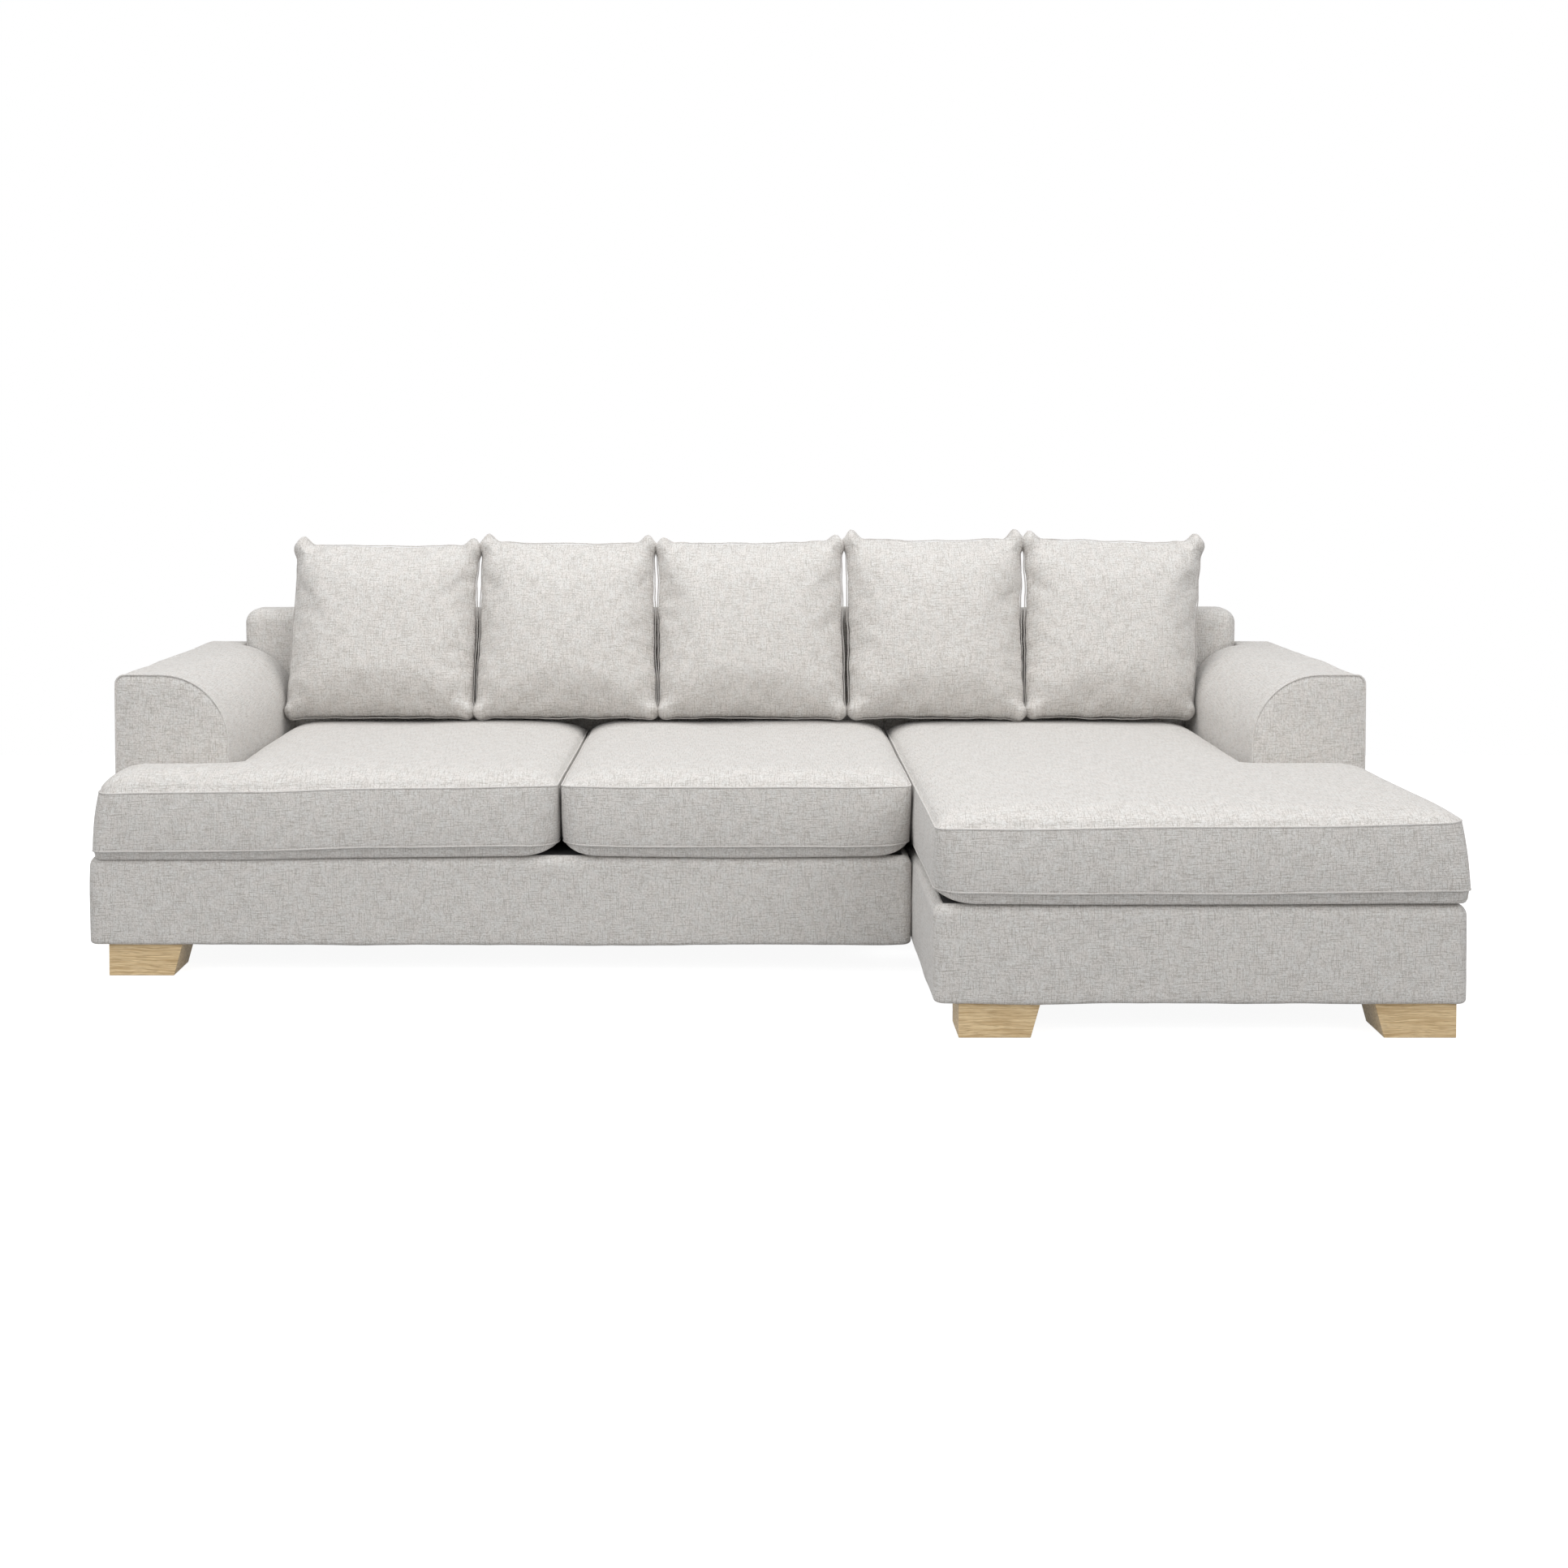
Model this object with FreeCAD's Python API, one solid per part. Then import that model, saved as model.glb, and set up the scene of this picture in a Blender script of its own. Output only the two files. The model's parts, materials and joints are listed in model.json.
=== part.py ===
"""Two-seat sofa module and chaise module, joined side by side, with loose seat and back cushions.

Millimetres. +X runs to the right as you face the seat, +Y to the rear, +Z up. The origin is on the floor,
under the middle of the overall box. Each file in parts/ is one named piece or one set of identical pieces.
"""

import FreeCAD
import Part

import math
import os

V = FreeCAD.Vector

# Overall sizes
base_width = 2800.0
base_depth = 1540.0
chaise_reach = 485.0
chaise_width = 1030.0
seat_front_overhang = 12.0
seat_side_overhang = 6.0
module_gap = 2.0

# Heights of the layers
glide_thickness = 2.0
foot_top = 70.0
base_top = 262.0
seat_top = 450.0
arm_top = 630.0
back_top = 720.0

# Upholstery layers
fabric = 2.0
arm_foam = 18.0
border_wall = 20.0
border_corner_radius = 26.0
border_top_radius = 17.0
border_foot_radius = 7.0
dust_cover = 1.2
slack = 0.3

# Timber
rail_thickness = 25.0
rail_top = 240.0
arm_board = 18.0

# Arms
arm_width = 250.0
arm_side_inset = 5.0
arm_setback = 203.0
arm_inner_radius = 150.0
arm_outer_radius = 20.0
piping_radius = 2.5
panel_thickness = 6.0
arm_bearer_inset = 70.0
former_count = 4

# Backs
back_thickness = 122.0
back_end_inset = 123.0
back_edge_radius = 34.0
back_gap = 3.0
back_skin = 14.0
back_rail_height = 45.0
post_spacing = 420.0

# Seat cushions
cushion_gap = 3.0
seat_corner_radius = 30.0
seat_notch_radius = 8.0
belly_height = 19.0
crown_height = 40.0
belly_inset = 26.0
crown_share = 0.28
crown_levels = ((0.0, 0.0), (0.44, 0.27), (0.77, 0.6), (1.0, 1.0))
seat_rear_gap = 12.0

# Back cushions
# How the five cushions share the row between the arms, from the left, and how far each tips to the right, in
# degrees. They are squeezed a little unevenly.
back_cushion_shares = (0.2068, 0.202, 0.2086, 0.195, 0.1876)
back_cushion_tilts = (0.0, 0.0, 0.0, 0.0, 2.5)
back_cushion_height = 456.0
back_cushion_front_swell = 105.0
back_cushion_rear_swell = 65.0
back_cushion_lean = 14.0
back_cushion_lift = 5.0
back_cushion_gap = 4.0
back_row_side_gap = 4.0
# Each level gives the share of the swell, then the inset of the outline, how far its sides are drawn in, and the
# corner radius, as shares of half the cushion's width.
pillow_levels = ((0.0, 0.0, 0.062, 0.07), (0.30, 0.035, 0.05, 0.10), (0.60, 0.115, 0.022, 0.19),
                 (0.82, 0.26, -0.018, 0.28), (0.94, 0.44, -0.03, 0.28), (1.0, 0.66, -0.03, 0.22))

# Feet
foot_top_width = 158.0
foot_foot_width = 139.0
foot_depth = 120.0
foot_front_inset = 12.0
foot_side_inset_left = 42.0
foot_side_inset_right = 20.0
foot_joint_inset = 50.0
leg_radius = 25.0
leg_front_inset = 380.0
glide_radius = 22.0
bolt_radius = 4.0
bolt_reach = 46.0
bolt_head_radius = 8.0
bolt_head_height = 5.0
block_height = 48.0

# Springs
spring_wire_radius = 1.75
spring_wire_sides = 8
spring_loop_radius = 18.0
spring_arm = 18.0
spring_spacing = 190.0
clip_plate = 1.5
clip_length = 24.0
clip_width = 26.0

# Webbing, connectors and zips
webbing_width = 50.0
webbing_thickness = 1.5
web_count = 4
connector_width = 60.0
connector_plate = 3.0
connector_screw_radius = 2.2
connector_screw_reach = 22.0
zip_length = 520.0
zip_tape_height = 26.0
zip_tape = 1.0
zip_teeth_height = 5.0
zip_teeth = 1.6
zip_slider_length = 13.0
zip_slider_height = 9.0
zip_slider_wall = 1.2

# Places worked out from the sizes above
half_width = base_width / 2
rear_y = (base_depth + seat_front_overhang) / 2
chaise_front_y = rear_y - base_depth
sofa_front_y = chaise_front_y + chaise_reach
joint_x = half_width - chaise_width
sofa_right_x = joint_x - module_gap / 2
chaise_left_x = joint_x + module_gap / 2
arm_outer_x = half_width - arm_side_inset
arm_inner_x = arm_outer_x - arm_width
arm_front_y = sofa_front_y + arm_setback
arm_wrap_y = arm_front_y + 2 * piping_radius
back_front_y = rear_y - back_thickness
back_end_x = half_width - back_end_inset
deck_bottom = rail_top + 2 * clip_plate + 2 * spring_wire_radius + 3 * slack
rail_bottom = foot_top + dust_cover
seat_bottom = base_top + 1.0
seam_low = seat_bottom + belly_height
seam_high = seat_top - crown_height


def box(x0, x1, y0, y1, z0, z1):
    """A block between two corners."""
    return Part.makeBox(x1 - x0, y1 - y0, z1 - z0, V(x0, y0, z0))


def upright(x, y, z0, z1, radius):
    """A round bar standing on z0."""
    return Part.makeCylinder(radius, z1 - z0, V(x, y, z0))


def mirrored(shape):
    """The same piece on the other side of the sofa."""
    return shape.mirror(V(0, 0, 0), V(1, 0, 0))


def group(shapes):
    """Several separate solids in one node."""
    return Part.makeCompound([solid for shape in shapes for solid in shape.Solids])


def save(name, shape):
    """Writes one node, after testing that each of its solids is closed."""
    for solid in shape.Solids:
        if not solid.isValid() or solid.Volume <= 0:
            raise ValueError(name + " is not a valid solid")
    shape.exportStep("parts/" + name + ".step")


def rounded_wire(points, radii, z):
    """A closed outline at height z through the points, anticlockwise, with an arc at each corner."""
    count = len(points)
    starts, arcs = [], []
    for i in range(count):
        here = V(points[i][0], points[i][1], z)
        before = V(points[i - 1][0], points[i - 1][1], z)
        after = V(points[(i + 1) % count][0], points[(i + 1) % count][1], z)
        to_before = (before - here).normalize()
        to_after = (after - here).normalize()
        half_angle = to_before.getAngle(to_after) / 2
        reach = radii[i] / math.tan(half_angle)
        first = here + to_before * reach
        last = here + to_after * reach
        inward = (to_before + to_after).normalize()
        middle = here + inward * (radii[i] / math.sin(half_angle) - radii[i])
        starts.append((first, last))
        arcs.append(Part.Arc(first, middle, last).toShape())
    edges = []
    for i in range(count):
        edges.append(arcs[i])
        edges.append(Part.makeLine(starts[i][1], starts[(i + 1) % count][0]))
    return Part.Wire(edges)


def inset_points(points, inset):
    """The outline with every edge moved inwards by inset."""
    count = len(points)
    moved = []
    for i in range(count):
        x, y = points[i]
        to_here = V(x - points[i - 1][0], y - points[i - 1][1], 0).normalize()
        onward = V(points[(i + 1) % count][0] - x, points[(i + 1) % count][1] - y, 0).normalize()
        moved.append((x - (to_here.y + onward.y) * inset, y + (to_here.x + onward.x) * inset))
    return moved


# Base borders: padded panels round each module, with rolled top and bottom edges

def border_block(x0, x1, y0, y1, corner_radius):
    """The outer form of one module's base."""
    points = ((x0, y0), (x1, y0), (x1, y1), (x0, y1))
    wire = rounded_wire(points, (corner_radius,) * 4, foot_top)
    block = Part.Face(wire).extrude(V(0, 0, base_top - foot_top))
    top = [e for e in block.Edges if abs(e.BoundBox.ZMin - base_top) < 0.01]
    block = block.makeFillet(border_top_radius, top)
    foot = [e for e in block.Edges if abs(e.BoundBox.ZMax - foot_top) < 0.01]
    return block.makeFillet(border_foot_radius, foot)


def border_panels(x0, x1, y0, y1):
    """Front, right, rear and left panels, sewn together at mitred corners."""
    shell = border_block(x0, x1, y0, y1, border_corner_radius)
    wall = border_wall
    shell = shell.cut(box(x0 + wall, x1 - wall, y0 + wall, y1 - wall, 0, base_top + 1))
    mitre = 2 * wall
    outer = ((x0, y0), (x1, y0), (x1, y1), (x0, y1))
    inner = ((x0 + mitre, y0 + mitre), (x1 - mitre, y0 + mitre), (x1 - mitre, y1 - mitre), (x0 + mitre, y1 - mitre))
    panels = []
    for i in range(4):
        j = (i + 1) % 4
        corners = [V(x, y, 0) for x, y in (outer[i], outer[j], inner[j], inner[i], outer[i])]
        wedge = Part.Face(Part.makePolygon(corners)).extrude(V(0, 0, base_top + 1))
        panels.append(shell.common(wedge))
    return panels


# Timber base of each module

def bearer_x():
    """The rail under each arm, which the arm is bolted down to."""
    return arm_inner_x + arm_bearer_inset


def long_rails(x0, x1, y0, y1):
    """Front and rear rails."""
    left, right = x0 + border_wall, x1 - border_wall
    front, rear = y0 + border_wall, y1 - border_wall
    return [box(left, right, front, front + rail_thickness, rail_bottom, rail_top),
            box(left, right, rear - rail_thickness, rear, rail_bottom, rail_top)]


def short_rails(x0, x1, y0, y1, crossings):
    """Side rails and cross rails, butted between the front and rear rails."""
    front, rear = y0 + border_wall + rail_thickness, y1 - border_wall - rail_thickness
    lefts = [x0 + border_wall, x1 - border_wall - rail_thickness]
    lefts += [x - rail_thickness / 2 for x in crossings]
    return [box(x, x + rail_thickness, front, rear, rail_bottom, rail_top) for x in lefts]


# Feet and what holds them

def oak_foot(x_outer, y_front, side, rearwards):
    """One block foot. side is +1 where its sloping face looks to +X, and rearwards is +1 on a front foot."""
    top, foot = foot_top_width * side, foot_foot_width * side
    corners = [V(x_outer, y_front, glide_thickness), V(x_outer + foot, y_front, glide_thickness),
               V(x_outer + top, y_front, foot_top), V(x_outer, y_front, foot_top)]
    profile = Part.Face(Part.makePolygon(corners + corners[:1]))
    block = profile.extrude(V(0, foot_depth * rearwards, 0))
    return block if block.Volume > 0 else block.reversed()


def foot_places():
    """Outer X, outer Y, the way the slope looks and the way the depth runs, for each oak foot."""
    left = -half_width + foot_side_inset_left
    right = half_width - foot_side_inset_right
    joint = chaise_left_x + foot_joint_inset
    front = [(left, sofa_front_y + foot_front_inset, 1, 1), (joint, chaise_front_y + foot_front_inset, 1, 1),
             (right, chaise_front_y + foot_front_inset, -1, 1)]
    rear = [(left, rear_y - foot_front_inset, 1, -1), (joint, rear_y - foot_front_inset, 1, -1),
            (right, rear_y - foot_front_inset, -1, -1)]
    return front, rear


def foot_centre(place):
    """The point over which a foot's bolt stands."""
    x_outer, y_outer, side, rearwards = place
    return x_outer + side * foot_foot_width / 2, y_outer + rearwards * foot_depth / 2


def leg_places():
    """Two plain round legs carry the sofa module beside the joint, well back from the front."""
    x = sofa_right_x - border_wall - rail_thickness - leg_radius - 12
    return [(x, sofa_front_y + leg_front_inset), (x, rear_y - border_wall - rail_thickness - leg_radius - 12)]


def foot_bolt(x, y):
    """A stud with a washer head, up through the foot and the block above it."""
    head = upright(x, y, foot_top - bolt_reach / 2 - bolt_head_height, foot_top - bolt_reach / 2, bolt_head_radius)
    shank = upright(x, y, foot_top - bolt_reach / 2, foot_top + bolt_reach / 2, bolt_radius)
    return head.fuse(shank).removeSplitter()


def foot_block(x, y):
    """A timber block in the base that the foot is bolted to, as deep as fits behind the rail."""
    half = foot_front_inset + foot_depth / 2 - border_wall - rail_thickness
    block = box(x - half, x + half, y - half, y + half, rail_bottom, rail_bottom + block_height)
    return block.cut(upright(x, y, rail_bottom - 1, foot_top + bolt_reach / 2 + slack, bolt_radius + slack))


def foot_counterbore(x, y):
    """The hole in a foot, closed at its foot end by the glide."""
    head = foot_top - bolt_reach / 2
    wide = upright(x, y, glide_thickness - 1, head, bolt_head_radius + slack)
    return wide.fuse(upright(x, y, head - 1, foot_top + 1, bolt_radius + slack))


# Seat springs

def sinuous_spring(x, y0, y1):
    """One zigzag spring along Y, made of half circles and straight arms, with straight ends."""
    count = int((y1 - y0 - 2 * clip_length) / (2 * spring_loop_radius))
    start = (y0 + y1) / 2 - count * spring_loop_radius
    z = rail_top + clip_plate + slack + spring_wire_radius
    edges = []
    for i in range(count):
        side = 1 if i % 2 == 0 else -1
        low, high = start + 2 * spring_loop_radius * i, start + 2 * spring_loop_radius * (i + 1)
        reach = x + side * spring_arm
        edges.append(Part.makeLine(V(x, low, z), V(reach, low, z)))
        crest = V(reach + side * spring_loop_radius, (low + high) / 2, z)
        edges.append(Part.Arc(V(reach, low, z), crest, V(reach, high, z)).toShape())
        edges.append(Part.makeLine(V(reach, high, z), V(x, high, z)))
    path = Part.Wire(edges)
    section = []
    for i in range(spring_wire_sides + 1):
        turn = 2 * math.pi * (i + 0.5) / spring_wire_sides
        section.append(V(x, start + spring_wire_radius * math.cos(turn), z + spring_wire_radius * math.sin(turn)))
    spring = path.makePipeShell([Part.makePolygon(section)], True, False)
    return spring, start, start + 2 * spring_loop_radius * count


def spring_clip(x, y, towards):
    """A folded steel clip on the rail that holds the spring's end bar. towards is +1 where the spring runs to +Y."""
    lip_z = rail_top + clip_plate + 2 * slack + 2 * spring_wire_radius
    back = y - towards * (spring_wire_radius + slack)
    front = y + towards * (spring_wire_radius + 3)
    outer = back - towards * clip_plate
    y_low, y_high = sorted((outer, front))
    body = box(x - clip_width / 2, x + clip_width / 2, y_low, y_high, rail_top, lip_z + clip_plate)
    y_low, y_high = sorted((back, front + towards))
    return body.cut(box(x - clip_width, x + clip_width, y_low, y_high, rail_top + clip_plate, lip_z))


def spring_rows(x_low, x_high):
    """Evenly spaced springs between two X limits."""
    count = int((x_high - x_low) / spring_spacing)
    pitch = (x_high - x_low) / count
    return [x_low + pitch * (i + 0.5) for i in range(count)]


# Arms

def arm_profile(inset, y):
    """The left arm's section in X and Z, drawn inset from its skin and left open along the base."""
    outer, inner = -arm_outer_x + inset, -arm_inner_x - inset
    top = arm_top - inset
    r_out, r_in = arm_outer_radius - inset, arm_inner_radius - inset
    r_out = max(r_out, 1.0)
    outer_mid = V(outer + r_out * (1 - math.sqrt(0.5)), y, top - r_out * (1 - math.sqrt(0.5)))
    inner_mid = V(inner - r_in * (1 - math.sqrt(0.5)), y, top - r_in * (1 - math.sqrt(0.5)))
    edges = [Part.makeLine(V(outer, y, base_top), V(outer, y, top - r_out)),
             Part.Arc(V(outer, y, top - r_out), outer_mid, V(outer + r_out, y, top)).toShape(),
             Part.makeLine(V(outer + r_out, y, top), V(inner - r_in, y, top)),
             Part.Arc(V(inner - r_in, y, top), inner_mid, V(inner, y, top - r_in)).toShape(),
             Part.makeLine(V(inner, y, top - r_in), V(inner, y, base_top))]
    return edges


def arm_section(inset, y):
    """The arm's section as a face."""
    edges = arm_profile(inset, y)
    edges.append(Part.makeLine(edges[-1].Vertexes[-1].Point, edges[0].Vertexes[0].Point))
    return Part.Face(Part.Wire(Part.__sortEdges__(edges)))


def arm_block(inset):
    """The left arm's form behind its front panel, less the corner where the back stands in it."""
    front, rear = arm_wrap_y + inset, rear_y - inset
    block = arm_section(inset, front).extrude(V(0, rear - front, 0))
    notch_x = -back_end_x - back_gap - inset
    notch_y = back_front_y - back_gap - inset
    return block.cut(box(notch_x, -arm_inner_x + 50, notch_y, rear_y + 50, base_top - 1, arm_top + 1))


def former_places():
    """Where each plywood former of an arm starts in Y."""
    inset = fabric + arm_foam
    front, rear = arm_wrap_y + inset, back_front_y - back_gap - inset - arm_board
    return [front + (rear - front) * i / (former_count - 1) for i in range(former_count)]


def arm_boards():
    """Plywood formers with a bottom board and two rails let into them."""
    inset = fabric + arm_foam
    places = former_places()
    front, rear = places[0], places[-1] + arm_board
    left, right = -arm_outer_x + inset, -arm_inner_x - inset
    top = arm_top - inset
    bottom_board = box(left, right, front, rear, base_top, base_top + arm_board)
    top_rail = box(left + 8, left + 52, front, rear, top - arm_board, top)
    inner_rail = box(right - arm_board, right, front, rear, top - arm_inner_radius - 60, top - arm_inner_radius - 10)
    rails = [bottom_board, top_rail, inner_rail]
    formers = []
    for y in places:
        former = arm_section(inset, y).extrude(V(0, arm_board, 0))
        for rail in rails:
            former = former.cut(rail)
        formers.append(former)
    tail = box(left, -back_end_x - back_gap - inset, rear, rear_y - inset, base_top, base_top + arm_board)
    return rails + formers + [tail]


def arm_piping():
    """The welt cord along the edge of the arm's front panel."""
    path = Part.Wire(arm_profile(piping_radius, arm_front_y + piping_radius))
    start = path.OrderedVertexes[0].Point
    disc = Part.Wire(Part.makeCircle(piping_radius, start, V(0, 0, 1)))
    return path.makePipeShell([disc], True, False)


def arm_bolts():
    """Bolts between the formers, down through the left arm's bottom board into the rail under it."""
    places = former_places()
    x = -bearer_x()
    bolts = []
    for i in range(len(places) - 1):
        y = (places[i] + places[i + 1] + arm_board) / 2
        head = upright(x, y, base_top + arm_board, base_top + arm_board + bolt_head_height, bolt_head_radius)
        shank = upright(x, y, rail_top - bolt_reach, base_top + arm_board, bolt_radius)
        bolts.append(head.fuse(shank).removeSplitter())
    return bolts


def clearance_holes(shape, bolts):
    """Cuts a running clearance round every bolt."""
    for bolt in bolts:
        centre = bolt.BoundBox.Center
        hole = upright(centre.x, centre.y, bolt.BoundBox.ZMin - slack, bolt.BoundBox.ZMax - bolt_head_height,
                       bolt_radius + slack)
        shape = shape.cut(hole)
    return shape


# Backs

def back_block(x0, x1, inset, round_left, round_right):
    """One module's back, rounded along its top and down its free end."""
    y0, y1, z1 = back_front_y + inset, rear_y - inset, back_top - inset
    block = box(x0 + inset, x1 - inset, y0, y1, base_top, z1)
    radius = back_edge_radius - inset
    edges = []
    for e in block.Edges:
        b = e.BoundBox
        along_top = abs(b.ZMin - z1) < 0.01 and b.XLength > 1
        left_end = round_left and abs(b.XMax - x0 - inset) < 0.01
        right_end = round_right and abs(b.XMin - x1 + inset) < 0.01
        if along_top or ((left_end or right_end) and b.ZMax > base_top + 1):
            edges.append(e)
    return block.makeFillet(radius, edges)


def back_span(x0, x1):
    """The space inside a back's skin, in X and Y, and its top."""
    inset = back_skin + 2 * slack
    return x0 + inset, x1 - inset, back_front_y + inset, rear_y - inset, back_top - inset


def post_places(x0, x1):
    """Where each post of a back starts in X."""
    left, right = back_span(x0, x1)[:2]
    count = max(3, round((right - left) / post_spacing) + 1)
    pitch = (right - left - back_edge_radius - rail_thickness) / (count - 1)
    return [left + back_edge_radius / 2 + pitch * i for i in range(count)]


def back_boards(x0, x1):
    """Posts between a bottom rail and a top rail."""
    left, right, front, rear, top = back_span(x0, x1)
    front += webbing_thickness
    edge = back_edge_radius / 2
    lower, upper = base_top + back_rail_height, top - edge - back_rail_height
    boards = [box(left + edge, right - edge, front, rear, base_top, lower),
              box(left + edge, right - edge, front + edge / 2, rear - edge / 2, upper, top - edge)]
    for x in post_places(x0, x1):
        boards.append(box(x, x + rail_thickness, front, rear, lower, upper))
    return boards


def back_webs(x0, x1):
    """Elastic straps across the front of the posts."""
    left, right, front, rear, top = back_span(x0, x1)
    edge = back_edge_radius / 2
    lower, upper = base_top + back_rail_height + 12, top - edge - back_rail_height - 12
    webs = []
    for i in range(web_count):
        z = lower + (upper - lower - webbing_width) * i / (web_count - 1)
        webs.append(box(left + edge, right - edge, front, front + webbing_thickness, z, z + webbing_width))
    return webs


def back_bolts(x0, x1):
    """Bolts between the posts, down through a back's bottom rail into the rear rail of the base."""
    y = rear_y - border_wall - rail_thickness / 2
    places = post_places(x0, x1)
    head_z = base_top + back_rail_height
    bolts = []
    for i in range(len(places) - 1):
        x = (places[i] + places[i + 1] + rail_thickness) / 2
        head = upright(x, y, head_z, head_z + bolt_head_height, bolt_head_radius)
        shank = upright(x, y, rail_top - bolt_reach, head_z, bolt_radius)
        bolts.append(head.fuse(shank).removeSplitter())
    return bolts


# Module connectors under the joint

def connector_places():
    """Where the two pairs of connectors sit along the joint."""
    return (sofa_front_y + 230, rear_y - 260)


def receiver(y):
    """A flat steel channel under the sofa module's side rail that the tongue slides into."""
    half = connector_width / 2
    x0, x1 = sofa_right_x - border_wall - connector_width, sofa_right_x - 2 * module_gap
    body = box(x0, x1, y - half, y + half, foot_top - 3 * connector_plate - slack, foot_top)
    slot = box(x0 + half / 2, x1 + 1, y - half / 2 - slack, y + half / 2 + slack,
               foot_top - 2 * connector_plate - slack, foot_top - connector_plate + slack)
    return body.cut(slot)


def tongue(y):
    """A steel tongue under the chaise module's side rail, reaching into the receiver."""
    half = connector_width / 2
    x0, x1 = chaise_left_x + 2 * module_gap, chaise_left_x + border_wall + connector_width
    plate = box(x0, x1, y - half, y + half, foot_top - 2 * connector_plate, foot_top)
    reach = box(sofa_right_x - border_wall - half, x0 + 1, y - half / 2, y + half / 2,
                foot_top - 2 * connector_plate, foot_top - connector_plate)
    return plate.fuse(reach).removeSplitter()


def connector_screws():
    """Two wood screws through each connector into the side rail above it."""
    middle = border_wall + rail_thickness / 2
    screws = []
    for y in connector_places():
        for side in (-1, 1):
            for x, plates in ((sofa_right_x - middle, 3), (chaise_left_x + middle, 2)):
                bottom = foot_top - plates * connector_plate - slack
                screws.append(upright(x, y + side * 0.4 * connector_width, bottom, foot_top + connector_screw_reach,
                                      connector_screw_radius))
    return screws


# Seat cushions

def seat_outline(index):
    """The plan of each seat cushion: left, middle and chaise. The outer two reach in front of the arms."""
    inset = cushion_gap / 2 + 2 * piping_radius
    front_left = sofa_front_y - seat_front_overhang + 2 * piping_radius
    front_chaise = chaise_front_y - seat_front_overhang + 2 * piping_radius
    rear = back_front_y - seat_rear_gap
    side = half_width + seat_side_overhang - 2 * piping_radius
    arm = arm_inner_x - inset
    ear = arm_front_y - inset
    between = (joint_x - arm_inner_x) / 2
    if index == 0:
        return ((-side, front_left), (between - inset, front_left), (between - inset, rear), (-arm, rear),
                (-arm, ear), (-side, ear))
    if index == 1:
        return ((between + inset, front_left), (joint_x - inset, front_left), (joint_x - inset, rear),
                (between + inset, rear))
    return ((joint_x + inset, front_chaise), (side, front_chaise), (side, ear), (arm, ear), (arm, rear),
            (joint_x + inset, rear))


def corner_radii(points, outset):
    """The radius at each corner of a seat cushion's outline, moved out by outset. The notch round the arm turns the
    other way, so its radius shrinks as the outline grows."""
    radii = []
    for i in range(len(points)):
        here, after = points[i], points[(i + 1) % len(points)]
        x, y = here[0] - points[i - 1][0], here[1] - points[i - 1][1]
        turns_left = x * (after[1] - here[1]) - y * (after[0] - here[0]) > 0
        radii.append(seat_corner_radius + outset if turns_left else seat_notch_radius - outset)
    return radii


def seat_form(points, shrink):
    """A box cushion with a belly below its lower seam and a crown above its upper seam."""
    radii = corner_radii(points, -shrink)
    top_inset = crown_share * arm_setback

    def level(z, inset):
        return rounded_wire(inset_points(points, inset + shrink), [r + 0.1 * inset for r in radii], z)

    lower = Part.makeLoft([level(seat_bottom + shrink, belly_inset), level(seam_low, 0), level(seam_high, 0)],
                          True, True)
    rise = seat_top - shrink - seam_high
    upper = Part.makeLoft([level(seam_high + up * rise, inwards * top_inset) for up, inwards in crown_levels],
                          True, False)
    return lower.fuse(upper).Solids[0]


def seat_piping(points):
    """The two welt cords round a seat cushion, at its upper and lower seams."""
    cords = []
    for z in (seam_low, seam_high):
        moved = inset_points(points, -piping_radius)
        path = rounded_wire(moved, corner_radii(points, piping_radius), z)
        start = path.OrderedVertexes[0].Point
        tangent = path.OrderedEdges[0].tangentAt(path.OrderedEdges[0].FirstParameter)
        disc = Part.Wire(Part.makeCircle(piping_radius - 0.05, start, tangent))
        cords.append(path.makePipeShell([disc], True, False))
    return cords


def zip_parts(points):
    """The zip across the rear border of a seat cushion: its tape and teeth, and its slider."""
    rear = max(y for _, y in points)
    xs = [x for x, y in points if abs(y - rear) < 0.01]
    middle = (min(xs) + max(xs)) / 2
    z = (seam_low + seam_high) / 2
    left, right = middle - zip_length / 2, middle + zip_length / 2
    tape = box(left, right, rear, rear + zip_tape, z - zip_tape_height / 2, z + zip_tape_height / 2)
    teeth = box(left + 4, right - 4, rear + zip_tape, rear + zip_tape + zip_teeth, z - zip_teeth_height / 2,
                z + zip_teeth_height / 2)
    x0 = left + 8
    x1 = x0 + zip_slider_length
    y0 = rear + zip_tape + slack
    body = box(x0, x1, y0, y0 + zip_teeth + zip_slider_wall, z - zip_slider_height / 2, z + zip_slider_height / 2)
    channel = zip_teeth_height / 2 + slack
    body = body.cut(box(x0 - 1, x1 + 1, y0 - 1, y0 + zip_teeth, z - channel, z + channel))
    pull_y = y0 + zip_teeth + zip_slider_wall
    pull = box(x1 - 4, x1 + 24, pull_y, pull_y + 1.2, z - 3.5, z + 3.5)
    return tape.fuse(teeth).removeSplitter(), body.fuse(pull).removeSplitter()


# Back cushions

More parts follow.
